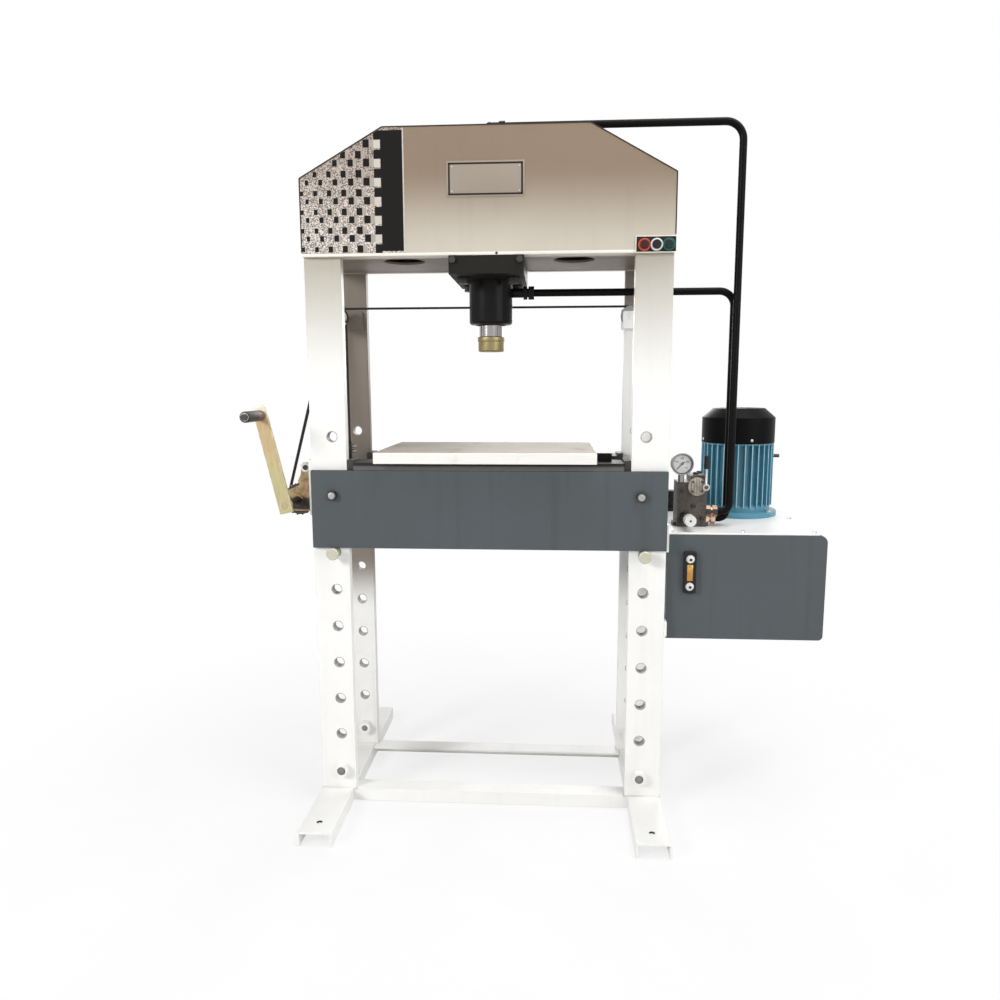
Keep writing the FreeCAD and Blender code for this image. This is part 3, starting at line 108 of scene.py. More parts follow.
# bolts through the uprights' feet: each face's y and the way it looks; the others are higher up
BOLT_X, BOLT_Z = 0.398, 0.094
BOLT_FACES = ((-0.165, -1), (0.164, 1), (-0.1065, 1), (0.1065, -1))
HEADER_BOLTS_FROM_Z = 1.0
# holes in the feet for the floor's anchors
ANCHOR_X, ANCHOR_Y, ANCHOR_RADIUS = 0.4135, 0.321, 0.0085
ROD_RADIUS = 0.0312
# winch: wound drum and its front hub, the crank's hub, the foot plate, the pawl's pivot with the
# radius and front y of its washer and nut
DRUM_RADIUS, HUB_FRONT_Y, CRANK_HUB = 0.030, -0.150, 0.014
WINCH_FOOT_X = -0.4642
PAWL_X, PAWL_Z = -0.489, 0.909
PAWL_WASHER, PAWL_NUT = (0.0129, -0.0858), (0.0070, -0.0876)
# sheaves: left axle, half a wheel's width, its groove, the ropes' rows, collar and end of the axle
SHEAVE_X, SHEAVE_Z = -0.430, 1.308
SHEAVE_HALF, GROOVE_RADIUS, ROPE_ROWS = 0.005, 0.0285, (0.058, 0.070)
AXLE_COLLAR, AXLE_COLLAR_Y, AXLE_END_Y = 0.013, 0.056, 0.0505
KEEPER_X, KEEPER_Z = -0.4056, 1.2914
# rope clamps: heights of their bows, and y of the left and the right pair
CLAMP_ROWS_Z, CLAMP_BOW_Y = (0.9405, 0.9545), (0.06115, 0.07315)
# the tank's level gauge
GAUGE_NUTS_Z, GAUGE_WINDOW_Z, GAUGE_DEPTH = (0.612, 0.6835), (0.6262, 0.6693), 0.014
# motor: radii between which its fins end, and the box's cable hole
FIN_TIPS = (0.0995, 0.1016)
CABLE_HOLE_Z, CABLE_HOLE_RADIUS = 0.918, 0.0056
# valve block: round cover, the screws below it, the pipe fitting, the lever's grip, the knob's rim
COVER_X, COVER_Z, COVER_RADIUS, COVER_Y = 0.5465, 0.857, 0.0245, -0.0358
BLOCK_SCREWS_BELOW_Z = 0.80
FITTING_LOW, FITTING_TOP, FITTING_LONG = 0.7495, 0.83, 0.0295
FITTING_Y, FITTING_HALF, FITTING_FROM_Y = -0.013, 0.0305, -0.045
LEVER_GRIP, KNOB_RIM = 0.0370, 0.0075


# ---- sizes and colours a user may change ----
def colour(name, value, text):
    return FloatVectorProperty(name=name, description=text, default=value, size=3, min=0, max=1,
                               subtype="COLOR")


class PressPaint(bpy.types.PropertyGroup):
    """Colours of the press"""
    header: colour("Header", (0.60, 0.555, 0.475), "Enamel low on the header")
    # Header top is painted shade, not age: the header's one enamel drawn darker high up, where less
    # light falls.
    header_top_shade: colour("Header top", (0.265, 0.198, 0.142),
                       "Enamel high on the header, darker with age")
    posts: colour("Posts", (0.92, 0.915, 0.895), "Enamel of uprights and feet")
    # Posts top is painted shade: the uprights' white enamel drawn darker under the header, where
    # less light falls.
    posts_top_shade: colour("Posts top", (0.50, 0.47, 0.40), "Enamel of the uprights under the header")
    slate: colour("Slate", (0.088, 0.100, 0.108), "Enamel of bolster and tank")
    black: colour("Black", (0.012, 0.011, 0.011), "Enamel of cylinder and pipes")
    motor: colour("Motor", (0.090, 0.300, 0.420), "Enamel of the motor")
    zinc: colour("Zinc", (0.50, 0.41, 0.235), "Passivated plate on the winch")


class PressSizes(bpy.types.PropertyGroup):
    """Sizes of the press's trim"""
    edge: FloatProperty(name="Edge", description="Rounding of sheet and plate edges",
                        default=0.0009, min=0.0001, unit="LENGTH")
    weld: FloatProperty(name="Weld", description="Radius of a weld bead", default=0.0032, min=0.001,
                        unit="LENGTH")
    hem: FloatProperty(name="Hem", description="Height of the rolled hem under the header",
                       default=0.0075, min=0.002, unit="LENGTH")
    ticks: IntProperty(name="Ticks", description="Divisions round the pressure dial", default=40,
                       min=8, max=80)


def paint():
    return bpy.context.scene.press_paint


def sizes():
    return bpy.context.scene.press_sizes


# ---- node helpers ----
def put(tree, kind, inputs=None, **props):
    """Adds a node, sets its properties, and sets or links its inputs."""
    made = tree.nodes.new(kind)
    for key, value in props.items():
        setattr(made, key, value)
    for key, value in (inputs or {}).items():
        if isinstance(value, bpy.types.NodeSocket):
            tree.links.new(value, made.inputs[key])
        else:
            made.inputs[key].default_value = value
    return made


def spot(tree):
    """The place of the point that is shaded, in its piece's own coordinates."""
    return put(tree, "ShaderNodeTexCoord").outputs["Object"]


def maths(tree, operation, *values):
    return put(tree, "ShaderNodeMath", dict(enumerate(values)), operation=operation).outputs[0]


def plus(tree, a, b):
    return maths(tree, "ADD", a, b)


def times(tree, a, b):
    return maths(tree, "MULTIPLY", a, b)


def bumped(tree, strength, distance, height, normal=None):
    """A normal that follows a height; normal is the one it starts from."""
    inputs = {"Strength": strength, "Distance": distance, "Height": height}
    if normal is not None:
        inputs["Normal"] = normal
    return put(tree, "ShaderNodeBump", inputs).outputs[0]


def ramp(tree, value, start, end, first=0.0, last=1.0):
    """first below start, last above end, and a smooth step between."""
    return put(tree, "ShaderNodeMapRange", {0: value, 1: start, 2: end, 3: first, 4: last},
               interpolation_type="SMOOTHSTEP").outputs[0]


def blend(tree, share, a, b, mode="MIX"):
    return put(tree, "ShaderNodeMix", {0: share, 6: rgba(a), 7: rgba(b)}, data_type="RGBA",
               blend_type=mode).outputs[2]


def rgba(value):
    if isinstance(value, bpy.types.NodeSocket):
        return value
    return (*value[:3], 1.0)


def noise(tree, vector, scale, detail=3.0, rough=0.55):
    return put(tree, "ShaderNodeTexNoise", {"Vector": vector, "Scale": scale, "Detail": detail,
                                            "Roughness": rough}).outputs[0]


def stretched(tree, vector, by):
    return put(tree, "ShaderNodeVectorMath", {0: vector, 1: by}, operation="MULTIPLY").outputs[0]


def parts_of(tree, vector):
    return put(tree, "ShaderNodeSeparateXYZ", {0: vector}).outputs


def new_group(name, inputs, outputs):
    """A shader node group with named sockets; returns it with its two end nodes."""
    made = bpy.data.node_groups.new(name, "ShaderNodeTree")
    for label, kind, default in inputs:
        socket = made.interface.new_socket(name=label, in_out="INPUT", socket_type=kind)
        socket.default_value = default
    for label, kind in outputs:
        made.interface.new_socket(name=label, in_out="OUTPUT", socket_type=kind)
    return made, made.nodes.new("NodeGroupInput"), made.nodes.new("NodeGroupOutput")


def shared(name, build):
    return bpy.data.node_groups.get(name) or build(name)


def edge_group(name):
    """Convex edges: a broken mask where paint rubs off, and a normal rounded over the edge."""
    made, start, end = new_group(
        name, [("Radius", "NodeSocketFloat", 0.002), ("Scale", "NodeSocketFloat", 160.0),
               ("Amount", "NodeSocketFloat", 0.5)],
        [("Mask", "NodeSocketFloat"), ("Normal", "NodeSocketVector")])
    where = spot(made)
    round_over = put(made, "ShaderNodeBevel", {"Radius": start.outputs["Radius"]},
                     samples=4).outputs[0]
    flat = put(made, "ShaderNodeNewGeometry").outputs["True Normal"]
    same = put(made, "ShaderNodeVectorMath", {0: round_over, 1: flat},
               operation="DOT_PRODUCT").outputs["Value"]
    turned = ramp(made, maths(made, "SUBTRACT", 1.0, same), 0.02, 0.22)
    broken = ramp(made, noise(made, where, start.outputs["Scale"], 4.0), 0.35, 0.62)
    mask = times(made, times(made, turned, broken), start.outputs["Amount"])
    made.links.new(mask, end.inputs["Mask"])
    made.links.new(round_over, end.inputs["Normal"])
    return made


def tone_group(name):
    """Wide soft blotches and vertical runs, as on hand-sprayed and handled metal."""
    made, start, end = new_group(
        name, [("Scale", "NodeSocketFloat", 4.0), ("Run scale", "NodeSocketFloat", 30.0)],
        [("Blotch", "NodeSocketFloat"), ("Run", "NodeSocketFloat")])
    where = spot(made)
    blotch = ramp(made, noise(made, where, start.outputs["Scale"], 4.0), 0.35, 0.70)
    tall = stretched(made, where, (1.0, 1.0, 0.06))
    run = ramp(made, noise(made, tall, start.outputs["Run scale"], 3.0), 0.52, 0.75)
    made.links.new(blotch, end.inputs["Blotch"])
    made.links.new(run, end.inputs["Run"])
    return made


def peel_group(name):
    """The fine waves of sprayed enamel with a few specks of dust in it."""
    made, start, end = new_group(
        name, [("Scale", "NodeSocketFloat", 260.0), ("Specks", "NodeSocketFloat", 0.3)],
        [("Height", "NodeSocketFloat")])
    where = spot(made)
    wave = noise(made, where, start.outputs["Scale"], 2.0)
    grit = ramp(made, noise(made, where, 900.0, 1.0), 0.70, 0.78)
    height = plus(made, wave, times(made, grit, start.outputs["Specks"]))
    made.links.new(height, end.inputs["Height"])
    return made


def lines_group(name):
    """Fine parallel tool marks; Stretch gives the direction they run in by its small parts."""
    made, start, end = new_group(
        name, [("Stretch", "NodeSocketVector", (1.0, 1.0, 1.0)),
               ("Scale", "NodeSocketFloat", 700.0)],
        [("Mask", "NodeSocketFloat"), ("Stain", "NodeSocketFloat")])
    where = spot(made)
    along = stretched(made, where, start.outputs["Stretch"])
    mark = noise(made, along, start.outputs["Scale"], 3.0, 0.7)
    stain = ramp(made, noise(made, where, 14.0, 5.0, 0.65), 0.55, 0.78)
    made.links.new(mark, end.inputs["Mask"])
    made.links.new(stain, end.inputs["Stain"])
    return made


def use(tree, name, build, **values):
    """Places a shared group in a material with its own values."""
    made = put(tree, "ShaderNodeGroup", node_tree=shared(name, build))
    for key, value in values.items():
        socket = made.inputs[key.replace("_", " ")]
        if isinstance(value, bpy.types.NodeSocket):
            tree.links.new(value, socket)
        else:
            socket.default_value = value
    return made.outputs


def material(name, **sockets):
    """A material with one Principled shader; constants go straight on its sockets."""
    made = bpy.data.materials.new(name)
    made.use_nodes = True
    tree = made.node_tree
    tree.nodes.clear()
    end = tree.nodes.new("ShaderNodeOutputMaterial")
    surface = tree.nodes.new("ShaderNodeBsdfPrincipled")
    tree.links.new(surface.outputs["BSDF"], end.inputs["Surface"])
    for key, value in sockets.items():
        surface.inputs[key.replace("_", " ")].default_value = value
    return made, tree, surface


def link(tree, surface, **values):
    for key, value in values.items():
        tree.links.new(value, surface.inputs[key.replace("_", " ")])


# ---- finishes ----
def enamel(name, tint, painted_shade=None, shade_heights=(0, 1), rough=0.34, worn=0.35, under=(0.22, 0.20, 0.18),
           runs=0.12, blotches=0.10, peel=0.10, edge=0.0015, coat=0.10, holes=False, shine=0.22,
           joint=None):
    """Sprayed enamel: tint low down, turning towards the second height to a painted shade colour
    where less light falls, rubbed at its edges.

    Holes puts worn rings round the rest-pin holes; the last argument is the height of a joint, just
    below which a painted shadow darkens the enamel."""
    made, tree, surface = material(name, Coat_Weight=coat, Coat_Roughness=0.12,
                                   Specular_IOR_Level=shine)
    where = spot(tree)
    x, _, z = parts_of(tree, where)
    base = rgba(tint)
    # painted shade: the tint turns to a darker colour high up, where less light reaches
    if painted_shade is not None:
        base = blend(tree, ramp(tree, z, *shade_heights), tint, painted_shade)
    tone = use(tree, "Tone", tone_group)
    base = blend(tree, times(tree, tone["Blotch"], blotches), base, (0.40, 0.36, 0.30),
                 "MULTIPLY")
    base = blend(tree, times(tree, tone["Run"], runs), base, (0.30, 0.26, 0.20), "MULTIPLY")
    rub = use(tree, "Edge", edge_group, Radius=edge, Amount=worn)
    base = blend(tree, rub["Mask"], base, under)
    rough_here = plus(tree, times(tree, tone["Blotch"], 0.10), rough)
    if holes:
        ring = pin_hole_ring(tree, x, z)
        base = blend(tree, ring, base, (0.33, 0.31, 0.29))
        rough_here = plus(tree, rough_here, times(tree, ring, 0.15))
    # painted shadow just under the joint, where the part resting on top shades it
    if joint is not None:
        shade = ramp(tree, z, joint - 0.0120, joint - 0.0050)
        base = blend(tree, shade, base, (0.012, 0.010, 0.009))
    skin = use(tree, "Peel", peel_group)
    bump = bumped(tree, peel, 0.0006, skin["Height"], rub["Normal"])
    link(tree, surface, Base_Color=base, Roughness=rough_here, Normal=bump)
    return made


def pin_hole_ring(tree, x, z):
    """A broken ring of bare steel round each rest-pin hole, where pins have been dragged in."""
    across = maths(tree, "SUBTRACT", maths(tree, "ABSOLUTE", x), PIN_X)
    shifted = maths(tree, "SUBTRACT", z, FIRST_HOLE_Z)
    up = maths(tree, "WRAP", shifted, HOLE_PITCH / 2, -HOLE_PITCH / 2)
    far = maths(tree, "SQRT", plus(tree, maths(tree, "POWER", across, 2.0),
                                    maths(tree, "POWER", up, 2.0)))
    where = spot(tree)
    torn = times(tree, noise(tree, where, 220.0, 3.0), 0.0035)
    near = ramp(tree, maths(tree, "SUBTRACT", far, torn), 0.0122, 0.0134, 1.0, 0.0)
    return times(tree, near, ramp(tree, z, 1.02, 1.04, 0.85, 0.0))


def metal(name, tint, rough=0.3, stretch=(1.0, 1.0, 1.0), marks=0.25, scale=700.0, stains=0.2,
          stain=(0.30, 0.22, 0.15), edge=0.0012, worn=0.35, bright=(0.80, 0.78, 0.75), bump=0.06,
          metallic=1.0):
    """Bare or plated metal with tool marks, stains and polished edges."""
    made, tree, surface = material(name, Metallic=metallic)
    cut = use(tree, "Lines", lines_group, Stretch=stretch, Scale=scale)
    base = blend(tree, times(tree, cut["Mask"], marks), tint, [0.45 * c for c in tint])
    base = blend(tree, times(tree, cut["Stain"], stains), base, stain)
    rub = use(tree, "Edge", edge_group, Radius=edge, Amount=worn)
    base = blend(tree, rub["Mask"], base, bright)
    rough_here = plus(tree, rough, plus(tree, times(tree, cut["Mask"], marks * 0.5),
                                                 times(tree, cut["Stain"], stains)))
    height = bumped(tree, bump, 0.0004, cut["Mask"], rub["Normal"])
    link(tree, surface, Base_Color=base, Roughness=rough_here, Normal=height)
    return made


def casting(name, tint, rough=0.6, shine=0.0, rubbed=(0.35, 0.33, 0.30)):
    """Sand-cast iron, painted or bare: pitted skin and lighter rubbed edges."""
    made, tree, surface = material(name, Metallic=shine)
    where = spot(tree)
    pits = noise(tree, where, 180.0, 5.0, 0.6)
    tone = use(tree, "Tone", tone_group, Scale=22.0)
    base = blend(tree, ramp(tree, pits, 0.35, 0.7), [0.55 * c for c in tint], tint)
    base = blend(tree, times(tree, tone["Blotch"], 0.45), base, [1.5 * c for c in tint])
    rub = use(tree, "Edge", edge_group, Radius=0.0018, Amount=0.45)
    base = blend(tree, rub["Mask"], base, rubbed)
    bump = bumped(tree, 0.35, 0.0008, pits, rub["Normal"])
    link(tree, surface, Base_Color=base, Normal=bump,
         Roughness=plus(tree, rough, times(tree, pits, 0.15)))
    return made


def moulded(name, tint, rough=0.4, grain=1200.0, depth=0.05, coat=0.0):
    """Moulded plastic or rubber with a fine grain and handling marks."""
    made, tree, surface = material(name, Coat_Weight=coat, Specular_IOR_Level=0.25)
    where = spot(tree)
    fine = noise(tree, where, grain, 2.0)
    tone = use(tree, "Tone", tone_group, Scale=40.0)
    base = blend(tree, times(tree, tone["Blotch"], 0.35), tint, [0.6 * c + 0.01 for c in tint])
    rub = use(tree, "Edge", edge_group, Radius=0.0008, Amount=0.25)
    base = blend(tree, rub["Mask"], base, [0.5 * c + 0.2 for c in tint])
    bump = bumped(tree, depth, 0.0003, fine, rub["Normal"])
    link(tree, surface, Base_Color=base, Normal=bump,
         Roughness=plus(tree, rough, times(tree, tone["Blotch"], 0.12)))
    return made


def stranded(name):
    """Greased wire rope: dark, with the lay of its strands across every run."""
    made, tree, surface = material(name, Metallic=0.6)
    where = spot(tree)
    x, y, z = parts_of(tree, where)
    along = plus(tree, plus(tree, x, times(tree, y, 0.7)), z)
    lay = maths(tree, "ABSOLUTE", maths(tree, "SINE", times(tree, along, 1250.0)))
    dark_patches = ramp(tree, noise(tree, where, 60.0, 4.0), 0.4, 0.7)
    base = blend(tree, lay, (0.006, 0.006, 0.006), (0.050, 0.046, 0.042))
    base = blend(tree, times(tree, dark_patches, 0.6), base, (0.012, 0.011, 0.010))
    bump = bumped(tree, 0.8, 0.0007, lay)
    link(tree, surface, Base_Color=base, Normal=bump,
         Roughness=maths(tree, "SUBTRACT", 0.55, times(tree, dark_patches, 0.2)))
    return made


def weld_metal(name, tint):
    """A painted weld bead, its ripples a little brighter than the sheet."""
    return enamel(name, tint, worn=0.15, runs=0.0, blotches=0.25, peel=0.3, edge=0.0006, coat=0.1)


def winch_metal(name):
    """Iridescent plate above, dark in a band across the shaft, bright again at the rim."""
    made, tree, surface = material(name, Metallic=0.55)
    where = spot(tree)
    z = parts_of(tree, where)[2]
    ragged = plus(tree, z, times(tree, noise(tree, where, 90.0, 4.0), 0.016))
    patch = ramp(tree, noise(tree, where, 70.0, 5.0, 0.65), 0.30, 0.74)
    hue = ramp(tree, noise(tree, where, 34.0, 2.0), 0.40, 0.60)
    gloss = blend(tree, hue, (0.54, 0.35, 0.235), (0.48, 0.385, 0.18))
    plate = blend(tree, patch, gloss, (0.21, 0.115, 0.065))
    # colour of the dark band across the shaft, in patches
    dark_patches = blend(tree, patch, (0.022, 0.017, 0.014), (0.075, 0.058, 0.042))
    dark = times(tree, ramp(tree, ragged, 0.802, 0.806), ramp(tree, ragged, 0.832, 0.840, 1.0, 0.0))
    base = blend(tree, dark, plate, dark_patches)
    rub = use(tree, "Edge", edge_group, Radius=0.0016, Amount=0.8)
    base = blend(tree, rub["Mask"], base, (0.85, 0.72, 0.52))
    bump = bumped(tree, 0.2, 0.0006, patch, rub["Normal"])
    link(tree, surface, Base_Color=base, Normal=bump,
         Roughness=plus(tree, times(tree, patch, 0.2), 0.32))
    return made


def arm_metal(name):
    """Yellow plate along the crank arm: rosy high up, greener low down, pale at rubbed edges."""
    made, tree, surface = material(name, Metallic=0.25)
    where = spot(tree)
    z = parts_of(tree, where)[2]
    streak = noise(tree, stretched(tree, where, (1.0, 1.0, 0.22)), 120.0, 4.0)
    low_tint = blend(tree, streak, (0.62, 0.56, 0.30), (0.40, 0.34, 0.17))
    high_tint = blend(tree, streak, (0.64, 0.49, 0.28), (0.40, 0.28, 0.14))
    base = blend(tree, ramp(tree, z, 0.88, 1.00), low_tint, high_tint)
    base = blend(tree, ramp(tree, z, 1.035, 1.062), base, (0.80, 0.77, 0.63))
    rub = use(tree, "Edge", edge_group, Radius=0.006, Amount=1.0, Scale=60.0)
    base = blend(tree, rub["Mask"], base, (0.92, 0.89, 0.70))
    bump = bumped(tree, 0.1, 0.0005, streak, rub["Normal"])
    link(tree, surface, Base_Color=base, Normal=bump,
         Roughness=plus(tree, times(tree, streak, 0.25), 0.26))
    return made


FINISHES = {
    # header and roof: the darker colour high up is painted shade
    "header": lambda: enamel(
        "header_enamel", paint().header, paint().header_top_shade,
        (HEADER_BOTTOM - 0.01, HEADER_TOP - 0.085), rough=0.30, worn=0.25, runs=0.05, blotches=0.08,
        coat=0.12),
    "roof": lambda: enamel(
        "roof_enamel", paint().header, paint().header_top_shade,
        (HEADER_BOTTOM - 0.02, HEADER_TOP + 0.05), rough=0.32, runs=0.05),
    # soffit: the header's underside drawn dark brown as painted shade
    "soffit": lambda: enamel(
        "soffit_shade_enamel", (0.235, 0.20, 0.165), rough=0.5, runs=0.0, blotches=0.5, coat=0.05),
    "hem": lambda: enamel("hem_enamel", (0.86, 0.83, 0.76), rough=0.25, worn=0.2, runs=0.0),
    # front uprights: painted shade darkens the white enamel towards the header
    "post": lambda: enamel(
        "post_enamel", paint().posts, paint().posts_top_shade, (1.08, HEADER_BOTTOM + 0.02), rough=0.30,
        worn=0.30, runs=0.04, blotches=0.05, holes=True),
    # rear uprights: painted shade, darker high up on the faces that look forward and inward
    "rear_post_right": lambda: enamel(
        "rear_right_shade_enamel", paint().posts, (0.27, 0.24, 0.205), (1.26, 1.37), rough=0.45,
        worn=0.30, runs=0.10, blotches=0.12, holes=True, coat=0.05),
    "rear_post": lambda: enamel(
        "rear_post_shade_enamel", paint().posts, (0.255, 0.217, 0.182), (0.455, 0.625), rough=0.45,
        worn=0.30, runs=0.10, blotches=0.15, holes=True, coat=0.05),
    "plate": lambda: enamel(
        "plate_enamel", (0.335, 0.285, 0.235), rough=0.32, worn=0.3, runs=0.05, coat=0.3),
    # a dark strip standing in for the shadow in the gap between cover and roof
    "sealant": lambda: moulded("gap_shadow_strip", (0.030, 0.022, 0.018), rough=0.6),
    "foot": lambda: enamel(
        "foot_enamel", paint().posts, rough=0.34, worn=0.45, runs=0.05, blotches=0.08),
    "slate": lambda: enamel(
        "slate_enamel", paint().slate, rough=0.36, worn=0.30, under=(0.30, 0.30, 0.30), runs=0.14,
        blotches=0.12, coat=0.06, shine=0.2),
    # slate_top: painted shade on the bolster channels' top faces, under the table's overhang
    "slate_top": lambda: enamel(
        "shaded_slate_top", (0.042, 0.044, 0.043), rough=0.5, worn=0.4, under=(0.16, 0.155, 0.15),
        runs=0.0, blotches=0.5, coat=0.0, shine=0.2),
    # support bars: a painted shadow under the table along their top
    "grey": lambda: enamel(
        "grey_primer", (0.11, 0.112, 0.108), rough=0.5, worn=0.5, under=(0.40, 0.39, 0.37),
        coat=0.0, shine=0.25, joint=high("support_bars").z),
    "lid": lambda: enamel(
        "lid_enamel", (0.90, 0.895, 0.87), rough=0.3, worn=0.3, runs=0.0, blotches=0.04),
    "black": lambda: enamel(
        "black_enamel", paint().black, rough=0.30, worn=0.20, under=(0.11, 0.10, 0.09), runs=0.0,
        blotches=0.3, coat=0.05, shine=0.06),
    # a darker copy of the black enamel: painted shade for undersides
    "underside_shade": lambda: enamel(
        "shaded_enamel", (0.012, 0.011, 0.011), rough=0.5, worn=0.25, under=(0.10, 0.09, 0.08),
        runs=0.0, blotches=0.3, coat=0.0, shine=0.05),
    "mount": lambda: enamel(
        "mount_enamel", (0.022, 0.021, 0.018), rough=0.42, worn=0.30, under=(0.13, 0.11, 0.09),
        runs=0.0, blotches=0.3, coat=0.0, shine=0.07),
    "pipe": lambda: enamel(
        "pipe_enamel", (0.006, 0.0055, 0.0055), rough=0.34, worn=0.1, under=(0.1, 0.09, 0.08),
        runs=0.0, blotches=0.3, peel=0.05, coat=0.02, shine=0.05),
    # motor: the pale blue rubbed edges are partly wear and partly painted glints
    "motor": lambda: enamel(
        "motor_enamel", paint().motor, rough=0.28, worn=0.75, under=(0.42, 0.66, 0.78), runs=0.0,
        blotches=0.35, peel=0.25, coat=0.35, edge=0.0022),
    # painted highlight on the motor's fin tips
    "fin_tip_highlight": lambda: enamel(
        "fin_tip_highlight_enamel", (0.44, 0.72, 0.84), rough=0.28, worn=0.6, under=(0.70, 0.86, 0.92),
        runs=0.0, blotches=0.3, peel=0.2, coat=0.3),
    "cowl": lambda: enamel(
        "cowl_enamel", (0.0045, 0.0045, 0.0045), rough=0.36, worn=0.2, under=(0.06, 0.06, 0.06),
        runs=0.0, blotches=0.2, coat=0.0, shine=0.05),
    "ground": lambda: metal(
        "ground_steel", (0.93, 0.91, 0.86), rough=0.45, stretch=(0.03, 1.0, 1.0), marks=0.25,
        scale=420.0, stains=0.45, stain=(0.74, 0.62, 0.54), metallic=0.2, worn=0.8,
        bright=(0.95, 0.94, 0.90), edge=0.0025),
    # table top: the plate's steel drawn darker as painted shade; its heavier marks and stains are
    # wear
    "table_top": lambda: metal(
        "shaded_steel_top", (0.40, 0.345, 0.29), rough=0.48, stretch=(0.03, 1.0, 1.0), marks=0.6,
        scale=300.0, stains=0.5, stain=(0.40, 0.31, 0.24), metallic=0.25, worn=0.5,
        bright=(0.90, 0.87, 0.80), edge=0.0025),
    "blackened": lambda: metal(
        "blackened_steel", (0.075, 0.072, 0.068), rough=0.42, marks=0.4, stains=0.3,
        stain=(0.05, 0.035, 0.025), bright=(0.35, 0.33, 0.30)),
    "bolt_grey": lambda: metal(
        "greyed_bolt", (0.27, 0.27, 0.265), rough=0.5, marks=0.5, scale=300.0, stains=0.5,
        stain=(0.06, 0.055, 0.05), bright=(0.55, 0.54, 0.52), metallic=0.4),
    "dull": lambda: metal(
        "dull_steel", (0.42, 0.43, 0.43), rough=0.38, marks=0.35, stains=0.25,
        bright=(0.55, 0.55, 0.54), metallic=0.6),
    "white_zinc": lambda: metal(
        "white_zinc", (0.80, 0.80, 0.79), rough=0.35, stretch=(1.0, 0.05, 1.0), marks=0.3,
        scale=500.0, stains=0.2, metallic=0.3),
    "bright": lambda: metal(
        "bright_steel", (0.62, 0.60, 0.57), rough=0.28, marks=0.35, stains=0.15),
    "chrome": lambda: metal(
        "hard_chrome", (0.36, 0.345, 0.34), rough=0.12, stretch=(1.0, 1.0, 0.03), marks=0.12,
        stains=0.05, worn=0.1, bump=0.02),
    "brass": lambda: metal(
        "turned_brass", (0.34, 0.275, 0.14), rough=0.30, stretch=(0.02, 0.02, 1.0), marks=0.5,
        scale=1100.0, stains=0.5, stain=(0.22, 0.15, 0.08), bright=(0.88, 0.80, 0.58)),
    "fitting": lambda: metal(
        "brass_fitting", (0.74, 0.52, 0.38), rough=0.25, marks=0.4, scale=260.0, stains=0.8,
        stain=(0.10, 0.045, 0.025), bright=(0.97, 0.87, 0.74), worn=0.7),
    "pin": lambda: metal(
        "pin_zinc", (0.62, 0.61, 0.49), rough=0.36, marks=0.3, scale=240.0, stains=0.4,
        stain=(0.42, 0.34, 0.20), bright=(0.90, 0.88, 0.78), metallic=0.6),
    "zinc": lambda: metal(
        "yellow_zinc", paint().zinc, rough=0.40, stretch=(1.0, 1.0, 0.2), marks=0.25, scale=240.0,
        stains=0.45, stain=(0.48, 0.34, 0.20), bright=(0.85, 0.78, 0.58), metallic=0.5),
    "arm": lambda: arm_metal("zinc_arm"),
    "winch": lambda: winch_metal("worn_zinc"),
    "cast": lambda: casting(
        "cast_manifold", (0.088, 0.075, 0.062), rough=0.42, shine=0.3, rubbed=(0.42, 0.38, 0.33)),
    # cast_bright: the cover's pale colour is partly its own and partly a painted highlight
    "cast_bright": lambda: casting(
        "cast_cover", (0.50, 0.44, 0.38), rough=0.34, shine=0.4, rubbed=(0.70, 0.66, 0.60)),
    "pump": lambda: casting("cast_pump", (0.20, 0.20, 0.20), rough=0.55, shine=0.4),
    "plastic": lambda: moulded("black_moulding", (0.012, 0.011, 0.011), rough=0.40),
    "rubber": lambda: moulded(
        "black_rubber", (0.018, 0.017, 0.017), rough=0.6, grain=800.0, depth=0.15),
    "red_dark": lambda: moulded("dark_red_plastic", (0.045, 0.007, 0.006), rough=0.3, coat=0.1),
    "red": lambda: moulded("red_plastic", (0.60, 0.085, 0.045), rough=0.28, coat=0.2),
    "white": lambda: moulded("white_plastic", (0.86, 0.85, 0.83), rough=0.28, coat=0.3),
    "green": lambda: moulded("green_plastic", (0.012, 0.115, 0.090), rough=0.28, coat=0.2),
    "green_dark": lambda: moulded("dark_green_plastic", (0.006, 0.022, 0.019), rough=0.3, coat=0.1),
    "rope": lambda: stranded("wire_rope_grease"),
    "header_weld": lambda: weld_metal("header_weld", (0.45, 0.41, 0.35)),
    "post_weld": lambda: weld_metal("post_weld", (0.82, 0.80, 0.76)),
    "grip": lambda: grip_material("grip_moulding"),
    "amber": lambda: amber("amber_oil"),
    "glass": lambda: glass("gauge_glass"),
    "sheet_print": lambda: speckled("speckled_print"),
    "black_print": lambda: printed("black_print", (0.010, 0.009, 0.0085)),
    "red_print": lambda: printed("red_print", (0.60, 0.13, 0.05)),
    "pale_print": lambda: printed("pale_print", (0.62, 0.57, 0.51)),
    "soft_print": lambda: printed("soft_print", (0.42, 0.37, 0.325)),
    "line_print": lambda: printed("plate_line", (0.030, 0.022, 0.018)),
    "dial_white": lambda: printed("dial_white", (0.97, 0.965, 0.95)),
    "dial_ink": lambda: printed("dial_ink", (0.02, 0.02, 0.02)),
    "dial_red": lambda: printed("dial_red", (0.50, 0.03, 0.02)),
}
MADE = {}


def finish(name):
    if name not in MADE:
        MADE[name] = FINISHES[name]()
    return MADE[name]


# ---- mesh helpers ----
def turned_to(axis, at):
    """Places local Z along axis, with its foot at a point."""
    turn = AXES["z"].rotation_difference(Vector(axis))
    return Matrix.Translation(at) @ turn.to_matrix().to_4x4()


def from_axis(corner, x, z):
    """How far a corner lies from a line along Y."""
    return math.hypot(corner.x - x, corner.z - z)


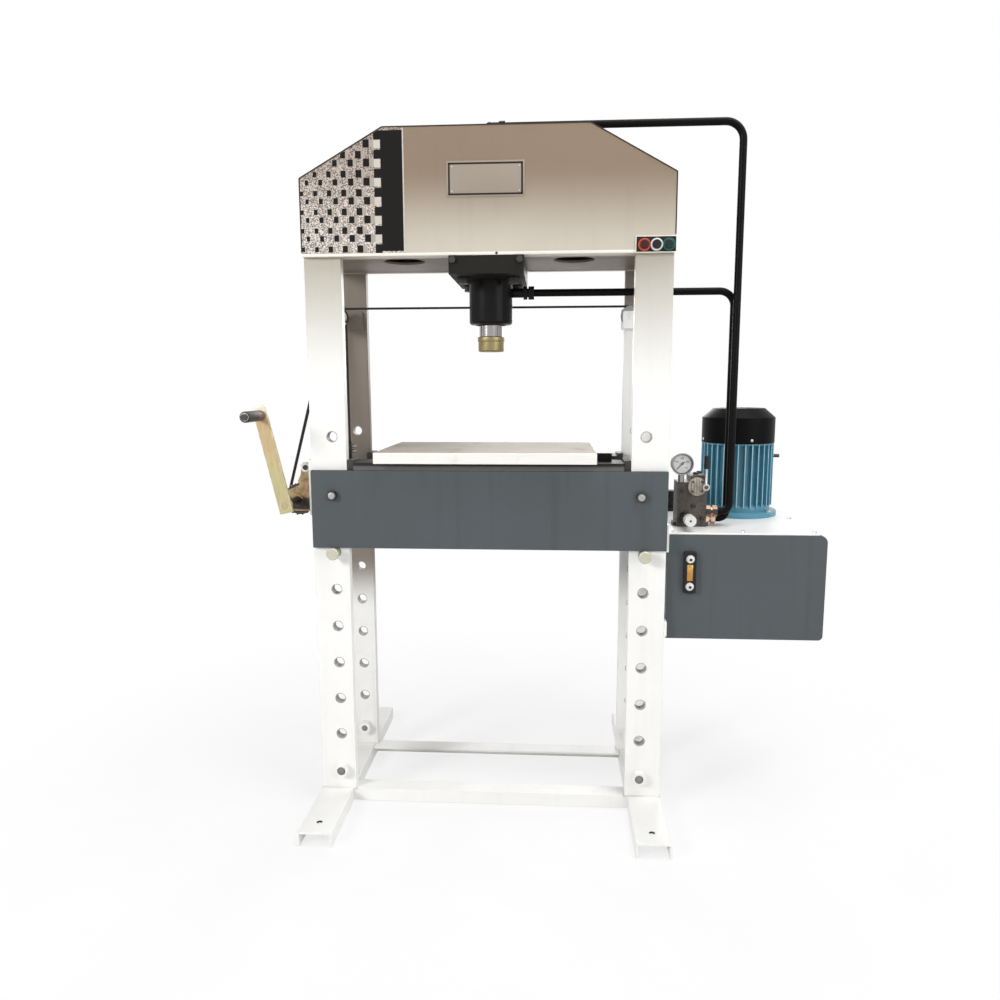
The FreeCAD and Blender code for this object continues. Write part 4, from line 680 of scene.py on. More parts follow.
def piece(name, bm, finishes, host, smooth=35, edge=0.0, stands_for=()):
    """Turns a mesh under work into a finished object that rides with its host, a CAD node.

    Edges sharper than smooth degrees stay sharp, or are rounded off as wide as edge says."""
    mesh = bpy.data.meshes.new(name)
    bm.to_mesh(mesh)
    bm.free()
    obj = bpy.data.objects.new(name, mesh)
    bpy.context.scene.collection.objects.link(obj)
    for each in [finishes] if isinstance(finishes, str) else finishes:
        mesh.materials.append(finish(each))
    mesh.shade_smooth()
    mesh.set_sharp_from_angle(angle=math.radians(smooth))
    if edge:
        rounding = obj.modifiers.new("Edges", "BEVEL")
        rounding.width = edge
        rounding.segments = 2
        rounding.limit_method = "ANGLE"
        rounding.angle_limit = math.radians(smooth)
        rounding.use_clamp_overlap = False
        rounding.harden_normals = True
    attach(obj, BODY_OF[host])
    if stands_for:
        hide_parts(*stands_for)
    return obj


def painted(node, finish_name):
    """Gives a CAD node its finish where its own shape is left as it is."""
    materials = frame["nodes"][node].data.materials
    materials.clear()
    materials.append(finish(finish_name))


def eased(node, finish_name, edge=None, cuts=()):
    """The node's own shape, merged to one skin, seamed at x of each cut, its edges rounded off."""
    painted(node, finish_name)
    bm = bmesh.new()
    bm.from_mesh(frame["nodes"][node].data)
    bmesh.ops.remove_doubles(bm, verts=bm.verts, dist=2e-6)
    for x in cuts:
        bmesh.ops.bisect_plane(bm, geom=bm.verts[:] + bm.edges[:] + bm.faces[:], dist=1e-6,
                               plane_co=(x, 0, 0), plane_no=AXES["x"])
        for line in bm.edges:
            line.seam = line.seam or all(abs(v.co.x - x) < 2e-6 for v in line.verts)
    bmesh.ops.dissolve_limit(bm, angle_limit=math.radians(0.3), verts=bm.verts, edges=bm.edges,
                             delimit={"SEAM"})
    return piece(node + "_eased", bm, finish_name, node,
                 edge=sizes().edge if edge is None else edge, stands_for=(node,))


def recolour(obj, finish_name, chosen):
    """Gives a second finish to the faces all of whose corners pass the test."""
    obj.data.materials.append(finish(finish_name))
    index = len(obj.data.materials) - 1
    passed = [chosen(v.co) for v in obj.data.vertices]
    for face in obj.data.polygons:
        if all(passed[k] for k in face.vertices):
            face.material_index = index


def bar(bm, start, end, width, depth):
    """A slim flat strip between two points of one XZ plane."""
    start, end = Vector(start), Vector(end)
    way = end - start
    turn = Matrix.Rotation(-math.atan2(way.z, way.x), 4, "Y")
    bmesh.ops.create_cube(bm, size=1, matrix=Matrix.Translation((start + end) / 2) @ turn
                          @ Matrix.Diagonal((way.length, depth, width, 1)))


def block(bm, lo, hi, edge=0.0):
    """A box between two corners, its edges rounded if asked."""
    lo, hi = Vector(lo), Vector(hi)
    size = hi - lo
    place = Matrix.Translation((lo + hi) / 2) @ Matrix.Diagonal((*size, 1))
    made = bmesh.ops.create_cube(bm, size=1, matrix=place)
    if edge:
        edges = {e for v in made["verts"] for e in v.link_edges}
        bmesh.ops.bevel(bm, geom=list(edges), offset=edge, segments=2, profile=0.5, affect="EDGES",
                        clamp_overlap=True, material=-1)


def join(bm, part):
    """Adds a mesh made on its own to the one under work."""
    mesh = bpy.data.meshes.new("part")
    part.to_mesh(mesh)
    part.free()
    bm.from_mesh(mesh)
    bpy.data.meshes.remove(mesh)


def lathe(bm, profile, at, axis, steps=48):
    """Spins (radius, height) pairs round axis; the profile's ends meet the axis or each other."""
    part = bmesh.new()
    ring = [part.verts.new((r, 0, h)) for r, h in profile]
    edges = [part.edges.new(pair) for pair in zip(ring, ring[1:])]
    if profile[0][0] > 0:
        edges.append(part.edges.new((ring[-1], ring[0])))
    bmesh.ops.spin(part, geom=ring + edges, cent=(0, 0, 0), axis=(0, 0, 1), dvec=(0, 0, 0),
                   angle=math.tau, steps=steps, use_merge=True)
    bmesh.ops.remove_doubles(part, verts=part.verts, dist=1e-6)
    bmesh.ops.recalc_face_normals(part, faces=part.faces)
    bmesh.ops.transform(part, matrix=turned_to(axis, at), verts=part.verts)
    join(bm, part)


def hexagon(bm, flats, height, at, axis, chamfer=0.12):
    """A hexagonal nut or head with its outer corners taken off."""
    radius = flats / math.sqrt(3)
    place = turned_to(axis, Vector(at) + Vector(axis) * (height / 2))
    made = bmesh.ops.create_cone(bm, cap_ends=True, cap_tris=False, segments=6, radius1=radius,
                                 radius2=radius, depth=height, matrix=place)
    far = Vector(at) + Vector(axis) * height
    top = [e for e in {e for v in made["verts"] for e in v.link_edges}
           if all(abs((v.co - far).dot(Vector(axis))) < 1e-6 for v in e.verts)]
    bmesh.ops.bevel(bm, geom=top, offset=flats * chamfer, segments=2, profile=0.5, affect="EDGES",
                    clamp_overlap=True, material=-1)


def pan_screw(bm, radius, at, axis):
    """A domed screw head with a fine cross on it, where the real one has its recess."""
    r = radius
    dome = [(0, r * 0.62), (r * 0.45, r * 0.58), (r * 0.85, r * 0.36), (r, 0.0), (0, 0.0)]
    lathe(bm, dome, at, axis, 20)
    for turn in (0, math.pi / 2):
        place = (turned_to(axis, at) @ Matrix.Translation((0, 0, r * 0.60))
                 @ Matrix.Rotation(turn, 4, "Z") @ Matrix.Diagonal((r, r * 0.16, r * 0.06, 1)))
        bmesh.ops.create_cube(bm, size=1, matrix=place)


def socket_screw(bm, radius, at, axis):
    """A cap screw: a turned rim round its sunk socket."""
    r = radius
    profile = [(0, r * 0.55), (r * 0.5, r * 0.55), (r * 0.55, r * 1.05), (r * 0.92, r * 1.05),
               (r, r * 0.95), (r, 0.0), (0, 0.0)]
    lathe(bm, profile, at, axis, 24)


def bead(bm, start, end, radius=None):
    """A weld bead: a ring carried along a line, swelling and narrowing like laid ripples."""
    start, end = Vector(start), Vector(end)
    radius = radius or sizes().weld
    way = end - start
    count = max(4, int(way.length / (radius * 0.8)))
    made = bmesh.ops.create_circle(bm, cap_ends=True, segments=8, radius=radius,
                                   matrix=turned_to(way.normalized(), start))
    edges = list({e for v in made["verts"] for e in v.link_edges})
    for k in range(1, count + 1):
        carried = bmesh.ops.extrude_edge_only(bm, edges=edges)["geom"]
        verts = [g for g in carried if isinstance(g, bmesh.types.BMVert)]
        edges = [g for g in carried if isinstance(g, bmesh.types.BMEdge)]
        bmesh.ops.translate(bm, verts=verts, vec=way / count)
        centre = start + way * (k / count)
        size = 0.86 if k % 2 else 1 / 0.86
        bmesh.ops.scale(bm, vec=(size,) * 3, verts=verts, space=Matrix.Translation(-centre))
    bmesh.ops.contextual_create(bm, geom=edges)


def sheet_on_face(bm, x0, x1, z0, z1, proud, index):
    """A thin printed patch on the header's face, in one of the inks of its list."""
    start = len(bm.faces)
    block(bm, (x0, FACE_Y - proud, z0), (x1, FACE_Y, z1))
    bm.faces.ensure_lookup_table()
    for face in bm.faces[start:]:
        face.material_index = index


# ---- stage ----
LIGHT_WORLD = 0.28
# name, place, width and watts of each lamp
LAMPS = (("key_lamp", (-2.7, -2.7, 2.2), 1.0, 81.0), ("fill_lamp", (3.0, -2.6, 1.7), 2.2, 44.0),
         ("top_lamp", (1.1, -0.5, 3.4), 2.0, 60.0), ("back_lamp", (0.4, 3.2, 2.0), 1.8, 40.0))
LAMPS_AIM = Vector((0, 0, 0.95))
CAMERA_AT = Vector((0.1608, -2.1408, 1.1251))
CAMERA_YAW, CAMERA_PITCH, CAMERA_ROLL = -0.0646, 0.1449, -0.0027
CAMERA_LENS = 28.504


def stage_camera():
    data = bpy.data.cameras.new("press_camera")
    data.lens = CAMERA_LENS
    data.sensor_width = 36.0
    data.clip_end = 60.0
    camera = bpy.data.objects.new("press_camera", data)
    bpy.context.scene.collection.objects.link(camera)
    ahead = Vector((math.sin(CAMERA_YAW) * math.cos(CAMERA_PITCH),
                    math.cos(CAMERA_YAW) * math.cos(CAMERA_PITCH), -math.sin(CAMERA_PITCH)))
    side = Vector((math.cos(CAMERA_YAW), -math.sin(CAMERA_YAW), 0))
    up = side.cross(ahead)
    c, s = math.cos(CAMERA_ROLL), math.sin(CAMERA_ROLL)
    side, up = side * c + up * s, up * c - side * s
    turn = Matrix((side, up, -ahead)).transposed().to_4x4()
    camera.matrix_world = Matrix.Translation(CAMERA_AT) @ turn
    bpy.context.scene.camera = camera


def backdrop_share(tree):
    """One where the backdrop is looked at, mirrored or seen through glass."""
    path = put(tree, "ShaderNodeLightPath").outputs
    seen = maths(tree, "MAXIMUM", path["Is Camera Ray"], path["Is Transmission Ray"])
    return maths(tree, "MAXIMUM", seen, path["Is Glossy Ray"])


def stage_world():
    """Plain white where it is seen or mirrored, and a softer level where it lights."""
    world = bpy.data.worlds.new("press_world")
    bpy.context.scene.world = world
    world.use_nodes = True
    tree = world.node_tree
    tree.nodes.clear()
    seen = backdrop_share(tree)
    level = maths(tree, "MAXIMUM", seen, LIGHT_WORLD)
    sky = put(tree, "ShaderNodeBackground", {"Color": (1, 1, 1, 1), "Strength": level}).outputs[0]
    out = tree.nodes.new("ShaderNodeOutputWorld")
    tree.links.new(sky, out.inputs["Surface"])


def stage_lamps():
    for name, at, size, power in LAMPS:
        data = bpy.data.lights.new(name, "AREA")
        data.size = size
        data.energy = power
        lamp = bpy.data.objects.new(name, data)
        bpy.context.scene.collection.objects.link(lamp)
        lamp.location = at
        lamp.rotation_mode = "QUATERNION"
        lamp.rotation_quaternion = (LAMPS_AIM - Vector(at)).to_track_quat("-Z", "Y")


def stage_floor():
    """A pale floor that keeps a soft shadow and fades into the white round it."""
    made = bpy.data.materials.new("pale_floor")
    made.use_nodes = True
    tree = made.node_tree
    tree.nodes.clear()
    where = spot(tree)
    grain = noise(tree, where, 3.0, 4.0)
    tint = blend(tree, ramp(tree, grain, 0.4, 0.6), (0.86, 0.86, 0.86), (0.90, 0.90, 0.90))
    matt = put(tree, "ShaderNodeBsdfDiffuse", {"Color": tint}).outputs[0]
    glow = put(tree, "ShaderNodeEmission", {"Color": (1, 1, 1, 1), "Strength": 1.0}).outputs[0]
    seen = backdrop_share(tree)
    reach = put(tree, "ShaderNodeVectorMath", {0: where}, operation="LENGTH").outputs["Value"]
    share = times(tree, seen, ramp(tree, reach, 0.3, 1.7, 0.72, 1.0))
    mixed = put(tree, "ShaderNodeMixShader", {0: share, 1: matt, 2: glow}).outputs[0]
    out = tree.nodes.new("ShaderNodeOutputMaterial")
    tree.links.new(mixed, out.inputs["Surface"])
    bm = bmesh.new()
    bmesh.ops.create_grid(bm, x_segments=8, y_segments=8, size=8)
    mesh = bpy.data.meshes.new("studio_floor")
    bm.to_mesh(mesh)
    bm.free()
    mesh.materials.append(made)
    floor = bpy.data.objects.new("studio_floor", mesh)
    bpy.context.scene.collection.objects.link(floor)


# ---- header ----
ROW_PITCH = 0.0438
ROWS_WITH_BAND = [1.4538 + ROW_PITCH * k for k in range(7)]
X_WITH_BAND = (-0.4490, -0.4155, -0.3810, -0.3450, -0.3075)
ROWS_BETWEEN = [1.4790 + ROW_PITCH * k for k in range(6)]
X_BETWEEN = (-0.4360, -0.4020, -0.3655, -0.3270, -0.2880)
BAND = (-0.2530, -0.2000, 1.4480, 1.7270)
PRINT_BOTTOM, RED_LINE = 1.4445, (1.4418, 1.4438)
PRINT_INKS = ("sheet_print", "black_print", "red_print", "pale_print", "soft_print")
GROUND, BLACK, RED, PALE, SOFT = range(len(PRINT_INKS))
SPECK_DARK, SPECK_PALE = (0.21, 0.175, 0.155), (0.74, 0.69, 0.63)


def speckled(name):
    """The printed sheet's pale ground, finely speckled, with painted shade darkening it towards the
    top.
    """
    made, tree, surface = material(name, Roughness=0.4, Specular_IOR_Level=0.25)
    where = spot(tree)
    dots = ramp(tree, noise(tree, where, 310.0, 2.0), 0.42, 0.58)
    base = blend(tree, dots, SPECK_DARK, SPECK_PALE)
    # painted shade: darker towards the top, as on the header
    painted_shade = ramp(tree, parts_of(tree, where)[2], 1.45, 1.72)
    base = blend(tree, painted_shade, base, (0.62, 0.56, 0.52), "MULTIPLY")
    bump = bumped(tree, 0.05, 0.0002, dots)
    link(tree, surface, Base_Color=base, Normal=bump)
    return made


def printed(name, tint):
    """Flat printing ink with a faint screen texture."""
    made, tree, surface = material(name, Specular_IOR_Level=0.1)
    where = spot(tree)
    screen = noise(tree, where, 900.0, 2.0)
    tone = use(tree, "Tone", tone_group, Scale=14.0)
    base = blend(tree, times(tree, screen, 0.35), tint, [0.7 * c + 0.004 for c in tint])
    link(tree, surface, Base_Color=base,
         Roughness=plus(tree, 0.35, times(tree, tone["Blotch"], 0.1)))
    return made


def print_check(bm, x, z, left):
    """A dark square with a soft shade at its right; both shrink towards the left edge."""
    grown = min(1.0, (x + HEADER_HALF) / 0.17)
    w, h = 0.0072 + 0.0080 * grown, 0.0105 + 0.0078 * grown
    z0, z1 = z - h / 2, z + h / 2
    sheet_on_face(bm, max(left, x - w / 2), x + w / 2, z0, z1, 0.0004, BLACK)
    if grown > 0.35:
        sheet_on_face(bm, x + w / 2, x + w * 0.5 + 0.011 * grown, z0, z1, 0.0003, SOFT)


def fascia_print():
    """Squares that shrink towards the left edge, a black band, and a thin red line below."""
    bm = bmesh.new()
    left = -HEADER_HALF + 0.0008
    x0, x1, z0, z1 = BAND
    sheet_on_face(bm, left, x1 + 0.0035, PRINT_BOTTOM, HEADER_TOP - 0.001, 0.00015, GROUND)
    for rows, places in ((ROWS_WITH_BAND, X_WITH_BAND), (ROWS_BETWEEN, X_BETWEEN)):
        for z in rows:
            for x in places:
                print_check(bm, x, z, left)
    sheet_on_face(bm, x0, x1, z0, z1, 0.0004, BLACK)
    for z in ROWS_WITH_BAND:
        sheet_on_face(bm, x0 - 0.0165, x0, z - 0.0105, z + 0.0105, 0.0004, BLACK)
    for z in ROWS_BETWEEN:
        sheet_on_face(bm, x0 - 0.0165, x0 - 0.0004, z - 0.0112, z + 0.0112, 0.0003, PALE)
    sheet_on_face(bm, left, x0, *RED_LINE, 0.0005, RED)
    sheet_on_face(bm, x1, x1 + 0.0030, z0 - 0.001, z1 + 0.002, 0.0005, PALE)
    slope = Vector((-(HEADER_TOP - HEADER_SHOULDER), 0, HEADER_HALF - HEADER_TOP_HALF)).normalized()
    corner = Vector((-HEADER_HALF, 0, HEADER_SHOULDER)) - slope * 0.0022
    bmesh.ops.bisect_plane(bm, geom=bm.verts[:] + bm.edges[:] + bm.faces[:], dist=1e-6,
                           plane_co=corner, plane_no=slope, clear_outer=True)
    bmesh.ops.remove_doubles(bm, verts=bm.verts, dist=1e-7)
    bmesh.ops.holes_fill(bm, edges=[e for e in bm.edges if e.is_boundary], sides=0)
    piece("fascia_print", bm, PRINT_INKS, COVER, smooth=30)


def blank_plate():
    """A plain riveted plate in the middle of the cover, with a dark line round its edge."""
    lo, hi = Vector((-0.094, FACE_Y - 0.0014, 1.571)), Vector((0.094, FACE_Y + 0.0002, 1.654))
    bm = bmesh.new()
    block(bm, lo, hi, 0.0005)
    piece("blank_plate", bm, "plate", COVER)
    inset, width = 0.0042, 0.0042
    lines = bmesh.new()
    y0, y1 = lo.y - 0.0003, lo.y + 0.0004
    x0, x1, z0, z1 = lo.x + inset, hi.x - inset, lo.z + inset, hi.z - inset
    for a, b in (((x0, z0), (x1, z0 + width)), ((x0, z1 - width), (x1, z1)),
                 ((x0, z0), (x0 + width, z1)), ((x1 - width, z0), (x1, z1))):
        block(lines, (a[0], y0, a[1]), (b[0], y1, b[1]))
    piece("blank_plate_line", lines, "line_print", COVER)
    rivets = bmesh.new()
    for x in (lo.x + 0.0130, hi.x - 0.0130):
        for z in (lo.z + 0.0135, hi.z - 0.0135):
            dome = [(0, 0.0012), (0.0014, 0.0009), (0.0021, 0.0), (0, 0.0)]
            lathe(rivets, dome, Vector((x, lo.y, z)), -AXES["y"], 16)
    piece("plate_rivets", rivets, "bright", COVER)


def header_seam():
    """A dark strip where the front cover meets the roof sheet: a painted shadow of the gap between
    them.
    """
    bm = bmesh.new()
    y = FACE_Y + 0.0006
    outline = [(-HEADER_HALF, HEADER_BOTTOM + 0.010), (-HEADER_HALF, HEADER_SHOULDER),
               (-HEADER_TOP_HALF, HEADER_TOP), (HEADER_TOP_HALF, HEADER_TOP),
               (HEADER_HALF, HEADER_SHOULDER), (HEADER_HALF, HEADER_BOTTOM + 0.042)]
    for (xa, za), (xb, zb) in zip(outline, outline[1:]):
        bar(bm, (xa, y, za), (xb, y, zb), 0.0030, 0.0026)
    piece("header_seam", bm, "sealant", COVER)


def fascia_hem():
    """The pale rolled edge along the cover's foot, as far as the button panel."""
    bm = bmesh.new()
    block(bm, (-HEADER_HALF, FACE_Y - 0.0012, HEADER_BOTTOM + 0.0002),
          (low("button_panel").x - 0.0005, FACE_Y + 0.001, HEADER_BOTTOM + sizes().hem), 0.0009)
    piece("fascia_hem", bm, "hem", COVER)


def fascia_screws():
    """The one screw that shows in the hem."""
    bm = bmesh.new()
    pan_screw(bm, 0.0034, Vector((0.026, FACE_Y - 0.0012, HEADER_BOTTOM + 0.0042)), -AXES["y"])
    piece("fascia_screws", bm, "blackened", COVER)


def header_welds():
    """Beads under the header plates: across each pair of uprights, and along the bottom sheet."""
    bm = bmesh.new()
    rows = (-HEADER_PLATE_Y, HEADER_PLATE_Y)
    for side in (-1, 1):
        for y in rows:
            bead(bm, (side * 0.362, y, HEADER_BOTTOM), (side * 0.451, y, HEADER_BOTTOM))
    z = HEADER_BOTTOM + 0.001
    for x0, x1 in ((-0.449, -0.095), (0.095, 0.449)):
        for y in rows:
            bead(bm, (x0, y * 0.998, z), (x1, y * 0.998, z), FINE_WELD)
    piece("header_welds", bm, "header_weld", COVER, smooth=60)


# ---- operators ----
class PRESS_OT_stage(bpy.types.Operator):
    """Floor, lamps, world and the camera at the photograph's angle"""
    bl_idname = "press.stage"
    bl_label = "Stage"

    def execute(self, context):
        stage_floor()
        stage_world()
        stage_lamps()
        stage_camera()
        return {"FINISHED"}


class PRESS_OT_uprights(bpy.types.Operator):
    """Uprights, feet, floor ties and their bolts"""
    bl_idname = "press.uprights"
    bl_label = "Uprights"

    def execute(self, context):
        for node in ("front_left_upright", "front_right_upright"):
            eased(node, "post")
        inner, front = abs(POST_HIGH.x) + HAIR, -POST_HIGH.y + HAIR
        # the rear uprights' front and inner faces get painted shade
        for node, painted_shade in (("rear_left_upright", "rear_post"),
                           ("rear_right_upright", "rear_post_right")):
            recolour(eased(node, "post"), painted_shade, lambda v: v.y < front or abs(v.x) < inner)
        # painted shade: the walls of the anchor holes in the feet are drawn dark
        recolour(eased("feet", "foot", 0.0012), "blackened", lambda v: math.hypot(
            abs(v.x) - ANCHOR_X, abs(v.y) - ANCHOR_Y) < ANCHOR_RADIUS)
        eased("floor_ties", "foot", 0.001)
        recolour(eased("frame_bolts", "foot", 0.001), "blackened",
                 lambda v: v.z > HEADER_BOLTS_FROM_Z)
        bolt_ends()
        upright_welds()
        return {"FINISHED"}


def bolt_ends():
    """Domed grey ends of the bolts that hold the uprights, with a ring where the paint stopped."""
    dome = [(0, 0.0026), (0.0060, 0.0023), (0.0088, 0.0010), (0.0094, 0.0), (0.0112, 0.0),
            (0, -0.0004)]
    bm = bmesh.new()
    for y, out in BOLT_FACES:
        for x in (-BOLT_X, BOLT_X):
            lathe(bm, dome, Vector((x, y, BOLT_Z)), AXES["y"] * out, 40)
    piece("bolt_ends", bm, "bolt_grey", "frame_bolts", smooth=50)


def upright_welds():
    """Beads round the uprights where they stand on the feet, and short ones inside them."""
    bm = bmesh.new()
    top = high("feet").z
    for side in (-1, 1):
        for y0, y1 in ((POST_LOW.y, POST_HIGH.y), (-POST_HIGH.y, -POST_LOW.y)):
            x0, x1 = side * abs(POST_LOW.x), side * abs(POST_HIGH.x)
            for y in (y0, y1):
                bead(bm, (x0, y, top), (x1, y, top))
            for x in (x0, x1):
                bead(bm, (x, y0, top), (x, y1, top))
        inner = side * (abs(POST_HIGH.x) + 0.008)
        for y in (POST_LOW.y, -POST_LOW.y):
            toward = 0.050 if y < 0 else -0.050
            bead(bm, (inner, y, top - 0.0005), (inner, y + toward, top - 0.0005), FINE_WELD)
    piece("upright_welds", bm, "post_weld", "feet", smooth=60)


class PRESS_OT_header(bpy.types.Operator):
    """The header: front cover with its printed sheet, roof, plates and bottom sheet"""
    bl_idname = "press.header"
    bl_label = "Header"

    def execute(self, context):
        painted("header_plates", "roof")
        # the bottom sheet gets painted shade
        painted("header_floor", "soffit")
        eased("header_fascia", "header", 0.0012)
        eased("header_roof", "roof", 0.0012)
        fascia_print()
        blank_plate()
        header_seam()
        fascia_hem()
        fascia_screws()
        header_welds()
        return {"FINISHED"}


class PRESS_OT_cylinder(bpy.types.Operator):
    """Cylinder, its mount, ram, cap, fittings and pipes"""
    bl_idname = "press.cylinder"
    bl_label = "Cylinder"

    def execute(self, context):
        underside = low("cylinder_mount").z + 0.002
        # painted shade on the mount's underside
        recolour(eased("cylinder_mount", "mount"), "underside_shade", lambda v: v.z < underside)
        for row in (("cylinder_barrel", "black", 0.0005), ("cylinder_ends", "blackened", 0.0005),
                    ("piston_rod", "chrome", 0.0004), ("ram_cap", "brass", 0.0006),
                    ("port_fittings", "black", 0.0006), ("upper_pipe", "pipe", 0.0),
                    ("lower_pipe", "pipe", 0.0)):
            eased(*row)
        rod_wiper()
        return {"FINISHED"}


def rod_wiper():
    """The lip seal that shows round the rod at the barrel's mouth."""
    bm = bmesh.new()
    inner, outer = ROD_RADIUS + 0.0002, ROD_RADIUS + 0.0085
    lip = [(inner, -0.0016), (ROD_RADIUS + 0.003, -0.0026), (outer, -0.0012), (outer, 0.0016),
           (inner, 0.0016)]
    lathe(bm, lip, Vector((0, 0, low("cylinder_barrel").z)), AXES["z"], 64)
    piece("rod_wiper", bm, "rubber", "cylinder_barrel", smooth=40)


class PRESS_OT_bolster(bpy.types.Operator):
    """The bolster with its bars, table plate, guides and screws"""
    bl_idname = "press.bolster"
    bl_label = "Bolster"

    def execute(self, context):
        for node in ("front_bolster_channel", "rear_bolster_channel"):
            top = high(node).z - 0.0001
            # painted shade on the channels' top faces, under the table
            recolour(eased(node, "slate", 0.0016), "slate_top", lambda v: v.z > top)
        clamp_faces()
        table_top = high("table_plate").z - 0.0005
        # the top face gets painted shade against the lit edges
        recolour(eased("table_plate", "ground", 0.0006), "table_top", lambda v: v.z > table_top)
        for row in (("bolster_ribs", "slate", 0.001), ("clamp_screws", "blackened", 0.0012),
                    ("support_bars", "grey", 0.0012), ("stop_block", "black", 0.0006),
                    ("guide_blocks", "blackened", 0.001)):
            eased(*row)
        return {"FINISHED"}


def clamp_faces():
    """The turned faces of the clamp screws' heads, each with its drill point."""
    bm = bmesh.new()
    lo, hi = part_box("clamp_screws")
    reach = (hi.z - lo.z) / 2 / math.sin(math.pi / 3)
    face = [(0, 0.0001), (0.0016, 0.0006), (0.0078, 0.0006), (0.0090, 0.0), (0, 0.0)]
    for y, out in ((lo.y, -1), (hi.y, 1)):
        for x in (lo.x + reach, hi.x - reach):
            lathe(bm, face, Vector((x, y, (lo.z + hi.z) / 2)), AXES["y"] * out, 40)
    piece("clamp_faces", bm, "dull", "clamp_screws")


class PRESS_OT_pins(bpy.types.Operator):
    """The two rest pins"""
    bl_idname = "press.pins"
    bl_label = "Rest pins"

    def execute(self, context):
        for node in ("left_rest_pin", "right_rest_pin"):
            eased(node, "pin", 0.0006)
        return {"FINISHED"}


class PRESS_OT_hoist(bpy.types.Operator):
    """Winch, crank, sheaves and wire ropes"""
    bl_idname = "press.hoist"
    bl_label = "Hoist"

    def execute(self, context):
        winch_colours(eased("winch_frame", "winch", 0.00035))
        shaft = middle("winch_drum")
        recolour(eased("winch_drum", "blackened", 0.0005), "zinc",
                 lambda v: from_axis(v, shaft.x, shaft.z) > DRUM_RADIUS or v.y < HUB_FRONT_Y)
        eased("ratchet_pawl", "zinc", 0.0006)
        hub_end = low("crank_arm").y + CRANK_HUB
        recolour(eased("crank_arm", "arm", 0.0005), "blackened", lambda v: v.y < hub_end)
        eased("crank_grip", "grip", 0.0008)
        grip_washer()
        brackets = eased("sheave_brackets", "foot", 0.0004)
        # painted shade: the left bracket takes the rear posts' shaded colour
        recolour(brackets, "rear_post", lambda v: v.x < 0)
        recolour(brackets, "foot", lambda v: v.y < AXLE_COLLAR_Y and v.z > SHEAVE_Z - AXLE_COLLAR
                 and abs(v.x - SHEAVE_X) < AXLE_COLLAR)
        recolour(brackets, "blackened", lambda v: v.y < AXLE_END_Y and v.x < 0)
        for node in ("left_sheaves", "right_sheave"):
            axle = middle(node)
            recolour(eased(node, "blackened", 0.0004), "dull",
                     lambda v: from_axis(v, axle.x, axle.z) < GROOVE_RADIUS
                     and min(abs(abs(v.y - y) - SHEAVE_HALF) for y in ROPE_ROWS) < 0.0004)
        eased("rope_clamps", "blackened", 0.0002)
        for node in ("wire_ropes", "rope_eyes", "rope_coil"):
            painted(node, "rope")
        rope_keeper()
        rope_falls()
        clamp_bows()
        return {"FINISHED"}


def rope_keeper():
    """A strap on the left axle and the round-headed bolt that keeps the near rope on."""
    front = low("sheave_brackets").y
    bm = bmesh.new()
    bar(bm, (SHEAVE_X, front + 0.0035, SHEAVE_Z), (KEEPER_X, front + 0.0035, KEEPER_Z),
        0.013, 0.0016)
    disc = [(0, 0.0), (0.0078, 0.0), (0.0078, 0.0022), (0.0070, 0.0030), (0, 0.0030)]
    lathe(bm, disc, Vector((KEEPER_X, front + 0.0044, KEEPER_Z)), -AXES["y"], 32)
    piece("rope_keeper", bm, "blackened", "sheave_brackets")
    bolt = bmesh.new()
    dome = [(0, 0.0019), (0.0022, 0.0017), (0.0042, 0.0), (0, 0.0)]
    lathe(bolt, dome, Vector((KEEPER_X, front + 0.0014, KEEPER_Z)), -AXES["y"], 28)
    piece("keeper_bolt", bolt, "white_zinc", "sheave_brackets")


def winch_colours(plates):
    """A foot plate in the frame's enamel; a pale washer under a dark nut on the pawl's pivot."""
    recolour(plates, "post", lambda v: v.x > WINCH_FOOT_X)
    for look, (radius, front) in (("foot", PAWL_WASHER), ("blackened", PAWL_NUT)):
        recolour(plates, look, lambda v: from_axis(v, PAWL_X, PAWL_Z) < radius and v.y < front)


def grip_material(name):
    """Black moulding with a worn brown sleeve next to the arm."""
    made, tree, surface = material(name, Roughness=0.42)
    where = spot(tree)
    y = parts_of(tree, where)[1]
    ragged = plus(tree, y, times(tree, noise(tree, where, 160.0, 3.0), 0.006))
    rust = noise(tree, where, 300.0, 4.0)
    sleeve = blend(tree, rust, (0.060, 0.016, 0.012), (0.20, 0.10, 0.05))
    body = blend(tree, rust, (0.014, 0.013, 0.013), (0.035, 0.033, 0.032))
    base = blend(tree, ramp(tree, ragged, -0.236, -0.228), body, sleeve)
    bump = bumped(tree, 0.15, 0.0004, rust)
    link(tree, surface, Base_Color=base, Normal=bump)
    return made


def grip_washer():
    """The grey washer under the grip's end nut."""
    centre = middle("crank_grip")
    ring = [(0.0052, -0.0002), (0.0052, 0.0010), (0.0092, 0.0010), (0.0098, 0.0004),
            (0.0098, -0.0002)]
    bm = bmesh.new()
    lathe(bm, ring, Vector((centre.x, low("crank_grip").y - 0.0009, centre.z)), AXES["y"], 40)
    piece("grip_washer", bm, "bright", "crank_arm")


